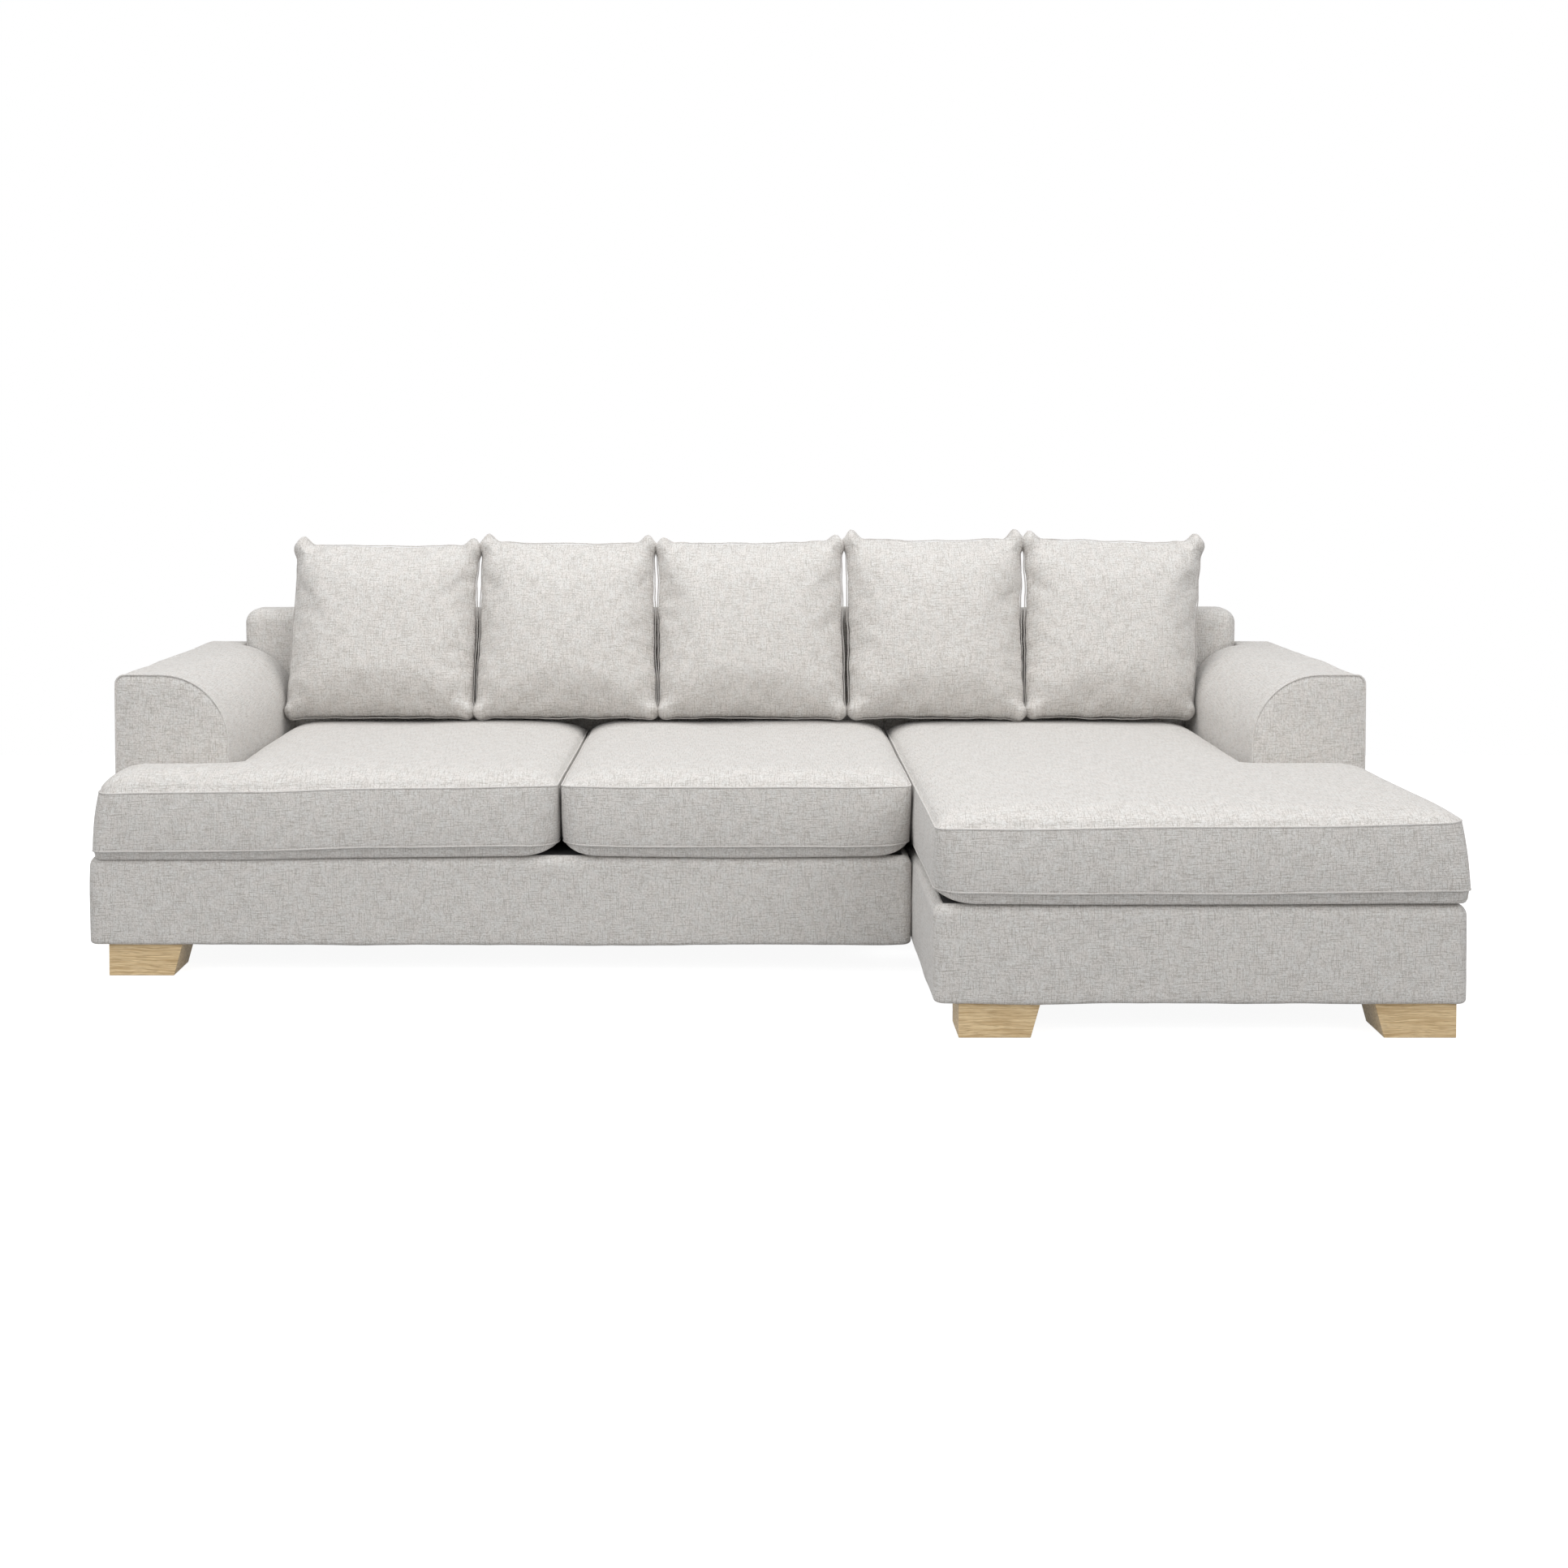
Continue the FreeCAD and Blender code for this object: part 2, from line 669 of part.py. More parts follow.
def pillow_wire(half_x, half_z, drawn, radius, depth):
    """An outline in the pillow's own plane whose sides curve in by drawn between its corners."""
    edges = []
    corners = ((1, 1), (-1, 1), (-1, -1), (1, -1))
    turn = math.sqrt(0.5)
    for i, (sx, sz) in enumerate(corners):
        centre = V(sx * (half_x - radius), depth, sz * (half_z - radius))
        along_x = V(centre.x, depth, sz * half_z)
        along_z = V(sx * half_x, depth, centre.z)
        first, last = (along_z, along_x) if sx * sz > 0 else (along_x, along_z)
        middle = centre + V(sx * radius * turn, 0, sz * radius * turn)
        edges.append(Part.Arc(first, middle, last).toShape())
        nx, nz = corners[(i + 1) % 4]
        if nz == sz:
            start, end = last, V(nx * (half_x - radius), depth, sz * half_z)
            middle = V(0, depth, sz * (half_z - drawn))
        else:
            start, end = last, V(sx * half_x, depth, nz * (half_z - radius))
            middle = V(sx * (half_x - drawn), depth, 0)
        edges.append(Part.Arc(start, middle, end).toShape())
    return Part.Wire(edges)


def pillow_place(index):
    """The middle of a back cushion in X, and its width."""
    row = 2 * (arm_inner_x - back_row_side_gap)
    left = -row / 2 + row * sum(back_cushion_shares[:index])
    width = row * back_cushion_shares[index]
    return left + width / 2, width - back_cushion_gap


def pillow_form(width, shrink):
    """A knife-edged pillow, standing upright with its edge seam in the plane y = 0 and fuller to the front."""
    half_x, half_z = width / 2 - shrink, back_cushion_height / 2 - shrink
    halves = []
    for swell in (-back_cushion_front_swell, back_cushion_rear_swell):
        depth = swell - shrink * swell / abs(swell)
        wires = []
        for share, inset, drawn, radius in pillow_levels:
            wires.append(pillow_wire(half_x * (1 - inset), half_z - half_x * inset, half_x * drawn, half_x * radius,
                                     depth * share))
        halves.append(Part.makeLoft(wires, True, False))
    return halves[0].fuse(halves[1]).Solids[0]


def placed_pillow(index, shrink):
    """One back cushion, leaning on the back with its lower seam just over the seat."""
    x, width = pillow_place(index)
    lean, tilt = math.radians(back_cushion_lean), math.radians(back_cushion_tilts[index])
    lowest_corner = back_cushion_height / 2 * math.cos(tilt) + width / 2 * math.sin(tilt)
    z = seat_top + back_cushion_lift + lowest_corner * math.cos(lean)
    swell = back_cushion_rear_swell / math.cos(lean)
    y = back_front_y - back_gap - swell + (z - back_top + back_edge_radius / 2) * math.tan(lean)
    pillow = pillow_form(width, shrink)
    pillow.rotate(V(0, 0, 0), V(0, 1, 0), back_cushion_tilts[index])
    pillow.rotate(V(0, 0, 0), V(1, 0, 0), -back_cushion_lean)
    pillow.translate(V(x + back_cushion_height / 2 * math.sin(tilt), y, z))
    return pillow


def build_base():
    """Everything between the floor and the seat deck."""
    bearer = bearer_x()
    seam = (joint_x - arm_inner_x) / 2
    sofa_crossings = (-bearer, seam - 185, seam + 185)
    chaise_crossings = (bearer, (joint_x + bearer) / 2)
    left_bolts = arm_bolts()
    bolts = left_bolts + [mirrored(b) for b in left_bolts]
    sofa_back = back_bolts(-back_end_x, sofa_right_x)
    chaise_back = back_bolts(chaise_left_x, back_end_x)
    holding = bolts + sofa_back + chaise_back
    save("frame_bolts", group(holding))

    save("sofa_border", group(border_panels(-half_width, sofa_right_x, sofa_front_y, rear_y)))
    save("chaise_border", group(border_panels(chaise_left_x, half_width, chaise_front_y, rear_y)))

    for name, x0, x1, y0, crossings in (
            ("sofa", -half_width, sofa_right_x, sofa_front_y, sofa_crossings),
            ("chaise", chaise_left_x, half_width, chaise_front_y, chaise_crossings)):
        rails = [clearance_holes(r, holding) for r in long_rails(x0, x1, y0, rear_y)]
        save(name + "_long_rails", group(rails))
        rails = [clearance_holes(r, holding) for r in short_rails(x0, x1, y0, rear_y, crossings)]
        for screw in connector_screws():
            rails = [r.cut(screw) for r in rails]
        save(name + "_cross_rails", group(rails))
        wall = border_wall
        deck = box(x0 + wall, x1 - wall, y0 + wall, rear_y - wall, deck_bottom, base_top)
        save(name + "_deck", clearance_holes(deck, holding))

    front, rear = foot_places()
    centres = [foot_centre(p) for p in front + rear]
    feet = [oak_foot(*p).cut(foot_counterbore(*foot_centre(p))) for p in front + rear]
    save("oak_feet", group(feet))
    legs = [upright(x, y, glide_thickness, foot_top, leg_radius).cut(foot_counterbore(x, y))
            for x, y in leg_places()]
    save("support_legs", group(legs))
    every = centres + leg_places()
    save("foot_bolts", group([foot_bolt(x, y) for x, y in every]))
    save("foot_glides", group([upright(x, y, 0, glide_thickness, glide_radius) for x, y in every]))
    save("foot_blocks", group([foot_block(x, y) for x, y in every]))

    screws = connector_screws()
    sheets = []
    wall = border_wall
    for x0, x1, y0 in ((-half_width, sofa_right_x, sofa_front_y), (chaise_left_x, half_width, chaise_front_y)):
        sheet = box(x0 + wall, x1 - wall, y0 + wall, rear_y - wall, foot_top, rail_bottom)
        for x, y in every:
            sheet = sheet.cut(upright(x, y, foot_top - 1, rail_bottom + 1, bolt_radius + slack))
        for screw in screws:
            sheet = sheet.cut(screw)
        sheets.append(sheet)
    save("dust_covers", group(sheets))


def build_springs():
    """Springs and their clips in both modules, between the rail under the arm and the side rail at the joint."""
    springs, clips = [], []
    bearer = bearer_x() - rail_thickness
    middle = border_wall + rail_thickness / 2
    edge = border_wall + rail_thickness
    for x_low, x_high, y_front in ((-bearer, sofa_right_x - edge, sofa_front_y),
                                   (chaise_left_x + edge, bearer, chaise_front_y)):
        for x in spring_rows(x_low, x_high):
            spring, start, end = sinuous_spring(x, y_front + middle, rear_y - middle)
            springs.append(spring)
            clips += [spring_clip(x, start, 1), spring_clip(x, end, -1)]
    save("seat_springs", group(springs))
    save("spring_clips", group(clips))


def build_arms():
    """Both arms: boards, foam, cover, front panel and piping."""
    cover = arm_block(0).cut(arm_block(fabric))
    foam = arm_block(fabric).cut(arm_block(fabric + arm_foam))
    panel = arm_section(2 * piping_radius, arm_front_y - 1).extrude(V(0, panel_thickness, 0))
    bolts = arm_bolts()
    boards = [clearance_holes(b, bolts) for b in arm_boards()]
    for side in ("left", "right"):
        turn = mirrored if side == "right" else (lambda shape: shape)
        save("arm_%s_frame" % side, group([turn(b) for b in boards]))
        save("arm_%s_foam" % side, turn(foam))
        save("arm_%s_cover" % side, turn(cover))
        save("arm_%s_front_panel" % side, turn(panel))
        save("arm_%s_piping" % side, turn(arm_piping()))


def build_backs():
    """Both backs: boards, straps and padded cover."""
    spans = (("sofa", -back_end_x, sofa_right_x, True, False), ("chaise", chaise_left_x, back_end_x, False, True))
    webs = []
    for name, x0, x1, round_left, round_right in spans:
        bolts = back_bolts(x0, x1)
        save("back_%s_frame" % name, group([clearance_holes(b, bolts) for b in back_boards(x0, x1)]))
        outer = back_block(x0, x1, 0, round_left, round_right)
        save("back_%s_cover" % name, outer.cut(back_block(x0, x1, back_skin, round_left, round_right)))
        webs += back_webs(x0, x1)
    save("back_webbing", group(webs))


def build_connectors():
    """Two pairs of interlocking steel connectors with their screws."""
    receivers = [receiver(y) for y in connector_places()]
    tongues = [tongue(y) for y in connector_places()]
    screws = connector_screws()
    save("connector_screws", group(screws))
    for screw in screws:
        receivers = [r.cut(screw) for r in receivers]
        tongues = [t.cut(screw) for t in tongues]
    save("connector_receivers", group(receivers))
    save("connector_tongues", group(tongues))


def build_seat_cushions():
    """Cover with its piping, foam core, zip and zip slider for each seat cushion."""
    for index, name in enumerate(("left", "middle", "chaise")):
        points = seat_outline(index)
        cover = seat_form(points, 0).cut(seat_form(points, fabric))
        save("seat_%s_cover" % name, cover)
        save("seat_%s_piping" % name, group(seat_piping(points)))
        save("seat_%s_foam" % name, seat_form(points, fabric + slack))
        tape, slider = zip_parts(points)
        save("seat_%s_zip" % name, tape)
        save("seat_%s_zip_slider" % name, slider)


def build_back_cushions():
    """Cover and filling for each back cushion, numbered from the left."""
    for index in range(len(back_cushion_shares)):
        cover = placed_pillow(index, 0).cut(placed_pillow(index, fabric))
        save("back_cushion_%d_cover" % (index + 1), cover)
        save("back_cushion_%d_filling" % (index + 1), placed_pillow(index, fabric + slack))


def main():
    """Builds every piece."""
    os.makedirs("parts", exist_ok=True)
    build_base()
    build_springs()
    build_arms()
    build_backs()
    build_connectors()
    build_seat_cushions()
    build_back_cushions()


main()
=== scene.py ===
import json
import math

import bmesh
import bpy
import numpy as np
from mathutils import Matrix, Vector, noise


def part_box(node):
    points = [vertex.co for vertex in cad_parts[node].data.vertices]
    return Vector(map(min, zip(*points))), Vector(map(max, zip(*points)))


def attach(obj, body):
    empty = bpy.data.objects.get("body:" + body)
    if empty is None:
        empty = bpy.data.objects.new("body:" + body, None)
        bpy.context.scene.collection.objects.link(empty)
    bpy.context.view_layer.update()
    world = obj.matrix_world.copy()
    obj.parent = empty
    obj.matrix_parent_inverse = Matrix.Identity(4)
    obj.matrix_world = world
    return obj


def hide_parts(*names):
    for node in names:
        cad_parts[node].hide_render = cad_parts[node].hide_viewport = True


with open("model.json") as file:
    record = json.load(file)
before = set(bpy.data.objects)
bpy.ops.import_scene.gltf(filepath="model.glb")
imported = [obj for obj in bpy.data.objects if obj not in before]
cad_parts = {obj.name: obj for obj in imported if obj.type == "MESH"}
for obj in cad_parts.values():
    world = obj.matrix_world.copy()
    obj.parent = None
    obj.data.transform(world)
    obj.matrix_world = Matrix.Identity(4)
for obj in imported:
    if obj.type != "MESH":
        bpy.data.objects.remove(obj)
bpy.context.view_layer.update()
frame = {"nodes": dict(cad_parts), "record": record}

scene = bpy.context.scene

# Sizes of the weave: cells in a metre across a thread and along it

long_thread, short_thread, dye_patch = (600.0, 32.0), (700.0, 170.0), (55.0, 40.0)
thread_pitch = 1600.0  # turns of the crossings in a metre, in radians
cell_turn = 0.55  # how far the cells are turned against the threads, in radians
long_share, short_share, crossing_share = 0.62, 1.15, 0.20  # how strongly each kind shows
slub_from, slub_full = 0.66, 0.76  # noise numbers where a thread begins to thicken and is thickest
warp_slub, weft_slub = 0.26, 0.30  # how dark a thick stretch is

# Sizes of the sewing, in metres

seam_radius, knife_seam_radius, piping_sides, cord_step = 0.0021, 0.0014, 10, 0.008
cord_stand = 0.90  # how far a cord stands out of its seam, in radii
cloth_grid = 0.016
crown_reach, dome_reach, dome_height = 0.085, 0.42, 0.008
belly_reach, outer_belly_reach, belly_turn = 0.085, 0.016, 0.014
seam_shoulder, shoulder_reach, border_bulge = 0.0030, 0.006, 0.0034
cushion_gap, drawn_reach, deck_gap = 0.0065, 0.25, 0.0004
hang_end, hang_fade = 0.013, 0.024  # how far in the belly hangs in full, and over what length it rises
ear_width, ear_margin = 0.5, 0.05  # a tight belly lies this near the outer side, this far before the arm
flat_rear, flat_fade = 0.08, 0.06  # how far from the rear a border begins to lie flat, and over what length
border_step, border_steps = 0.011, (0.0, 0.0007, 0.002, 0.004, 0.007, 0.012)
front_corner, rear_corner = (0.014, 0.062), (0.014, 0.030)  # radii of corners at the upper and lower seam
nose_corner, ear_corner = (0.045, 0.020), (0.022, 0.030)  # the same, in front of an arm and beside it
wander_full, wander_fade = 0.15, 0.35  # how far back a seam strays as at the front, and where that fades out
pillow_lean, pillow_height = math.radians(14.0), 0.456
pillow_front_swell, pillow_back_swell, pillow_rear_swell = 0.092, 0.052, 0.065
pillow_gather, pillow_corner = 0.86, 0.017  # how closely grid lines gather at edges, and a corner's radius
ear_knob, ear_swell, ear_pinch = (0.018, 0.016), (0.0, 0.070), (0.044, 0.012)  # place and width of each
back_gap, back_edge_radius = 0.003, 0.034

# Where things are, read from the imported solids

piping_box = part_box("seat_middle_piping")
low_seam, high_seam = piping_box[0].z + seam_radius, piping_box[1].z - seam_radius
border_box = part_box("sofa_border")
base_bottom, base_top = border_box[0].z, border_box[1].z
arm_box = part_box("arm_left_piping")[0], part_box("arm_left_cover")[1]
arm_outer, arm_inner = -arm_box[0].x, -arm_box[1].x
arm_front, arm_top = arm_box[0].y, arm_box[1].z
arm_rear = arm_box[1].y
back_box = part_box("back_sofa_cover")
back_front, back_top, back_end = back_box[0].y, back_box[1].z, -back_box[0].x


# Materials

def feed(tree, socket, source):
    """Links or sets one socket."""
    if isinstance(source, Number):
        source = source.socket
    if isinstance(source, bpy.types.NodeSocket):
        tree.links.new(source, socket)
    else:
        socket.default_value = source


def new_node(tree, kind, settings=None, sockets=None):
    """Adds a node to a tree, sets it up and feeds its sockets."""
    made = tree.nodes.new(kind)
    for key, setting in (settings or {}).items():
        setattr(made, key, setting)
    for key, source in (sockets or {}).items():
        feed(tree, made.inputs[key], source)
    return made


class Number:
    """One number in a material. Plain arithmetic on it adds the Math nodes."""

    def __init__(self, finish, socket):
        self.finish = finish
        self.socket = socket

    def math(self, operation, *others, **settings):
        """A Math node on this number and others."""
        settings["operation"] = operation
        made = self.finish.node("ShaderNodeMath", settings, dict(enumerate(others)))
        return Number(self.finish, made.outputs[0])

    def __add__(self, other):
        return self.math("ADD", self, other)

    def __sub__(self, other):
        return self.math("SUBTRACT", self, other)

    def __rsub__(self, other):
        return self.math("SUBTRACT", other, self)

    def __mul__(self, other):
        return self.math("MULTIPLY", self, other)

    __radd__ = __add__
    __rmul__ = __mul__

    def sine(self):
        """The sine of this number."""
        return self.math("SINE", self)

    def rise(self, low, high):
        """0 below low, 1 above high and straight in between."""
        return self.math("DIVIDE", self - low, high - low, use_clamp=True)


class Finish:
    """A material being put together round one Principled shader."""

    def __init__(self, name, **constants):
        self.material = bpy.data.materials.new(name)
        self.material.use_nodes = True
        self.tree = self.material.node_tree
        self.shader = self.tree.nodes["Principled BSDF"]
        for socket, number in constants.items():
            self.shader.inputs[socket.replace("_", " ")].default_value = number

    def node(self, kind, settings=None, sockets=None):
        """Adds a node to the material."""
        return new_node(self.tree, kind, settings, sockets)

    def shader_takes(self, name, source):
        """Links or sets one socket of the shader."""
        feed(self.tree, self.shader.inputs[name], source)

    def cloudy(self, place, scale, detail=2.0, roughness=0.5, flat=True):
        """A noise number between about 0.2 and 0.8. A flat one's cells are turned against the threads."""
        sockets = {"Vector": place, "Scale": scale, "Rotation": (0.0, 0.0, cell_turn if flat else 0.0)}
        spread = self.node("ShaderNodeMapping", {}, sockets).outputs[0]
        sockets = {"Vector": spread, "Scale": 1.0, "Detail": detail, "Roughness": roughness}
        settings = {"noise_dimensions": "2D" if flat else "3D"}
        return Number(self, self.node("ShaderNodeTexNoise", settings, sockets).outputs[0])

    def own_place(self):
        """Coordinates in metres that stay with the piece."""
        return self.node("ShaderNodeTexCoord").outputs["Object"]

    def blend(self, factor, first, second):
        """One colour turning into another."""
        made = self.node("ShaderNodeMix", {"data_type": "RGBA"}, {0: factor, 6: first, 7: second})
        return made.outputs[2]

    def bump(self, height, distance, strength=1.0):
        """Raises the surface by a height number."""
        made = self.node("ShaderNodeBump", {}, {"Height": height, "Distance": distance, "Strength": strength})
        self.shader_takes("Normal", made.outputs[0])

    def colour(self, source):
        """Sets the base colour."""
        self.shader_takes("Base Color", source)


def shaded(colour, share, lift=0.0):
    """A lighter or darker shade of a colour."""
    return tuple(min(1.0, c * share + lift) for c in colour[:3]) + (1.0,)


def cloth_place(finish):
    """The cloth's own coordinates in metres, along and across its threads."""
    return finish.node("ShaderNodeUVMap", {"uv_map": "cloth"}).outputs[0]


def linen(name, light, dark, depth=1.0):
    """A plain weave of long and short uneven threads both ways, over patches of slightly different dye."""
    finish = Finish(name, Roughness=0.92, Sheen_Weight=0.25, Sheen_Roughness=0.5, Specular_IOR_Level=0.15)
    place = cloth_place(finish)
    warp, weft, short_warp, short_weft = [finish.cloudy(place, cells + (1.0,), 0.0) for cells in (
        long_thread, long_thread[::-1], short_thread, short_thread[::-1])]
    dye = finish.cloudy(place, dye_patch + (1.0,), 1.0)
    across = finish.node("ShaderNodeSeparateXYZ", {}, {0: place})
    u, v = Number(finish, across.outputs[0]), Number(finish, across.outputs[1])
    crossings = (u * thread_pitch).sine() * (v * thread_pitch).sine()
    warps = (warp - 0.5) * long_share + (short_warp - 0.5) * short_share
    wefts = (weft - 0.5) * long_share + (short_weft - 0.5) * short_share
    slubs = warp.rise(slub_from, slub_full) * warp_slub + weft.rise(slub_from, slub_full) * weft_slub
    tone = 0.64 - (warps + wefts) * (0.88 * depth) + crossings * (crossing_share * depth) - slubs * depth
    pink = tuple(c * k for c, k in zip(light[:3], (1.010, 0.988, 0.978))) + (1.0,)
    body = finish.blend(dye.rise(0.38, 0.62), pink, light)
    finish.colour(finish.blend(tone.rise(0.0, 1.0), dark, body))
    finish.bump(crossings * 0.15 - warps - wefts * 0.7 - slubs, 0.0007, 0.7 * depth)
    return finish.material


def dark_cloth(name, shade, pitch):
    """A thin black cloth pressed into a fine grid of dots."""
    finish = Finish(name, Roughness=0.95, Sheen_Weight=0.1, Specular_IOR_Level=0.2)
    place = finish.own_place()
    across = finish.node("ShaderNodeSeparateXYZ", {}, {0: place})
    u, v = Number(finish, across.outputs[0]), Number(finish, across.outputs[1])
    dots = ((u * (math.tau / pitch)).sine() * (v * (math.tau / pitch)).sine()).rise(0.2, 0.8)
    fibres = finish.cloudy(place, (260.0, 260.0, 260.0), 3.0, flat=False)
    light = shaded(shade, 2.4, 0.01)
    finish.colour(finish.blend(fibres * 0.6 + dots * 0.3, shade, light))
    finish.bump(fibres * 0.5 - dots * 0.8, 0.0008)
    return finish.material


def oak(name):
    """Matt oiled oak: wavy growth lines along X, darker pores and pale flecks."""
    finish = Finish(name, Specular_IOR_Level=0.35)
    place = finish.own_place()
    bend = finish.cloudy(place, (9.0, 16.0, 16.0), 2.0, flat=False)
    lift = finish.node("ShaderNodeCombineXYZ", {}, {2: (bend - 0.5) * 0.012}).outputs[0]
    bent = finish.node("ShaderNodeVectorMath", {"operation": "ADD"}, {0: place, 1: lift}).outputs[0]
    growth = finish.cloudy(bent, (11.0, 150.0, 330.0), 2.5, 0.62, flat=False)
    pores = finish.cloudy(bent, (38.0, 500.0, 900.0), 1.5, 0.7, flat=False).rise(0.50, 0.66)
    fleck = finish.cloudy(bent, (18.0, 300.0, 90.0), 1.0, flat=False).rise(0.60, 0.78)
    grain = growth.rise(0.36, 0.64)
    body = finish.blend(grain, (0.96, 0.755, 0.460, 1.0), (0.640, 0.450, 0.235, 1.0))
    body = finish.blend(fleck * 0.35, body, (0.92, 0.75, 0.50, 1.0))
    finish.colour(finish.blend(pores * 0.62, body, (0.46, 0.31, 0.155, 1.0)))
    finish.shader_takes("Roughness", 0.52 + pores * 0.2)
    finish.bump(grain * 0.3 - pores, 0.0004, 0.6)
    return finish.material


def pine(name):
    """Rough sawn pine for the inside."""
    finish = Finish(name, Roughness=0.75)
    place = finish.own_place()
    ring = finish.cloudy(place, (6.0, 9.0, 60.0), 3.0, flat=False).rise(0.35, 0.65)
    saw = finish.cloudy(place, (400.0, 400.0, 30.0), 1.0, flat=False)
    finish.colour(finish.blend(ring * 0.7 + saw * 0.2, (0.70, 0.50, 0.28, 1.0), (0.50, 0.32, 0.15, 1.0)))
    finish.bump(saw, 0.0005)
    return finish.material


def grained(name, pitch, detail, first, second, share, rough, depth, strength, **constants):
    """A hard surface with a fine even grain, which varies its colour and its roughness."""
    finish = Finish(name, **constants)
    grain = finish.cloudy(finish.own_place(), (pitch, pitch, pitch), detail, flat=False)
    finish.colour(finish.blend(grain * share, first, second))
    finish.shader_takes("Roughness", rough[0] + grain * rough[1])
    finish.bump(grain, depth, strength)
    return finish.material


def zinc(name):
    """Zinc-plated steel, slightly mottled."""
    dull, bright = (0.50, 0.51, 0.53, 1.0), (0.70, 0.70, 0.70, 1.0)
    return grained(name, 300.0, 3.0, dull, bright, 1.0, (0.30, 0.25), 0.0001, 0.5, Metallic=1.0)


def moulded(name, shade):
    """Moulded plastic with a fine spark-eroded texture."""
    return grained(name, 900.0, 2.0, shade, shaded(shade, 1.5, 0.008), 0.6, (0.4, 0.2), 0.0002, 0.6)


def felt(name, shade):
    """Pressed felt, foam or fibre: a soft matt surface of short fibres."""
    finish = Finish(name, Roughness=0.97, Sheen_Weight=0.2, Specular_IOR_Level=0.15)
    place = finish.own_place()
    fibres = finish.cloudy(place, (500.0, 500.0, 500.0), 4.0, 0.7, flat=False)
    clump = finish.cloudy(place, (60.0, 60.0, 60.0), 2.0, flat=False)
    dark = shaded(shade, 0.72)
    finish.colour(finish.blend((fibres - 0.5) * 1.2 + clump * 0.5, shade, dark))
    finish.bump(fibres, 0.0008)
    return finish.material


linen_light = (0.800, 0.790, 0.772, 1.0)
linen_dark = (0.495, 0.468, 0.436, 1.0)
materials = {
    "upholstery": linen("linen", linen_light, linen_dark),
    # painted shade: the piping is the cover's own linen, made 3 percent darker so that the cord renders less
    # bright along the seams
    "piping": linen("linen_piping_painted_shade", shaded(linen_light, 0.97), linen_dark, 0.6),
    "oak": oak("oiled_oak"),
    "timber": pine("sawn_pine"),
    "steel": zinc("zinc_plate"),
    "black_plastic": moulded("black_plastic", (0.012, 0.012, 0.012, 1.0)),
    "felt": felt("felt_pad", (0.40, 0.37, 0.33, 1.0)),
    "foam": felt("foam_core", (0.80, 0.74, 0.55, 1.0)),
    "filling": felt("fibre_filling", (0.82, 0.82, 0.80, 1.0)),
    "deck_lining": dark_cloth("deck_lining", (0.010, 0.010, 0.011, 1.0), 0.006),
    "dust_cloth": dark_cloth("dust_cloth", (0.014, 0.014, 0.014, 1.0), 0.004),
    "webbing": dark_cloth("elastic_webbing", (0.03, 0.03, 0.03, 1.0), 0.003),
    "zip_tape": dark_cloth("zip_tape", (0.42, 0.41, 0.39, 1.0), 0.003),
    "zip_metal": zinc("zip_slider_paint"),
}


# Building meshes

def placed(name, data):
    """Puts a mesh, a light or a camera into the scene as an object."""
    piece = bpy.data.objects.new(name, data)
    scene.collection.objects.link(piece)
    return piece


class Patchwork:
    """A closed skin sewn from four-sided patches of points."""

    def __init__(self):
        self.verts = []
        self.faces = []
        self.uvs = []

    def add(self, points, cloth):
        """Adds a patch: rows of points, and the cloth coordinates of each of them."""
        rows, columns = points.shape[:2]
        start = len(self.verts)
        self.verts.extend(points.reshape(-1, 3))
        flat = cloth.reshape(-1, 2)
        for i in range(rows - 1):
            for j in range(columns - 1):
                here, after = i * columns + j, (i + 1) * columns + j
                corners = (here, here + 1, after + 1, after)
                self.faces.append([start + c for c in corners])
                self.uvs.extend(flat[c] for c in corners)

    def span(self, us, vs, point, cloth):
        """Adds the patch that point and cloth give over two rows of numbers."""
        points, marks = ([[given(u, v) for v in vs] for u in us] for given in (point, cloth))
        self.add(np.array(points), np.array(marks))

    def sewn(self, name, slot):
        """Joins the patches where they meet and turns every face outwards."""
        mesh = bpy.data.meshes.new(name)
        mesh.from_pydata([tuple(v) for v in self.verts], [], self.faces)
        layer = mesh.uv_layers.new(name="cloth")
        layer.data.foreach_set("uv", np.asarray(self.uvs, dtype=np.float32).ravel())
        mesh.shade_smooth()
        mesh.materials.append(materials[slot])
        edit = bmesh.new()
        edit.from_mesh(mesh)
        bmesh.ops.remove_doubles(edit, verts=edit.verts, dist=0.0001)
        bmesh.ops.dissolve_degenerate(edit, edges=edit.edges, dist=0.00005)
        bmesh.ops.recalc_face_normals(edit, faces=edit.faces)
        edit.to_mesh(mesh)
        edit.free()
        return placed(name, mesh)


def handed_over(piece, body, slot, *nodes, fill=None):
    """Hangs a piece on the body it rides on and hides the solids that it stands for; slot and fill are not
    used.
    """
    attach(piece, body)
    if nodes:
        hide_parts(*nodes)


def run_lengths(points):
    """The distance along a row of points from its start."""
    steps = np.linalg.norm(np.diff(points, axis=0), axis=1)
    return np.concatenate([[0.0], np.cumsum(steps)])


def spaced(start, end, step, tight):
    """Numbers from start to end, closer together near both ends."""
    near = [t for t in tight if t < (end - start) / 2]
    inner = [start + t for t in near]
    outer = [end - t for t in reversed(near)]
    count = max(1, int(round((outer[0] - inner[-1]) / step)))
    middle = [inner[-1] + (outer[0] - inner[-1]) * i / count for i in range(1, count)]
    return inner + middle + outer


edge_steps = (0.0, 0.004, 0.009, 0.015, 0.022, 0.030, 0.040, 0.052, 0.066)


def wobble(point, size, amount, seed):
    """A smooth random push, the same for every run."""
    return amount * noise.noise(Vector(point) / size + Vector((seed * 7.3, seed * 3.1, seed * 5.7)))


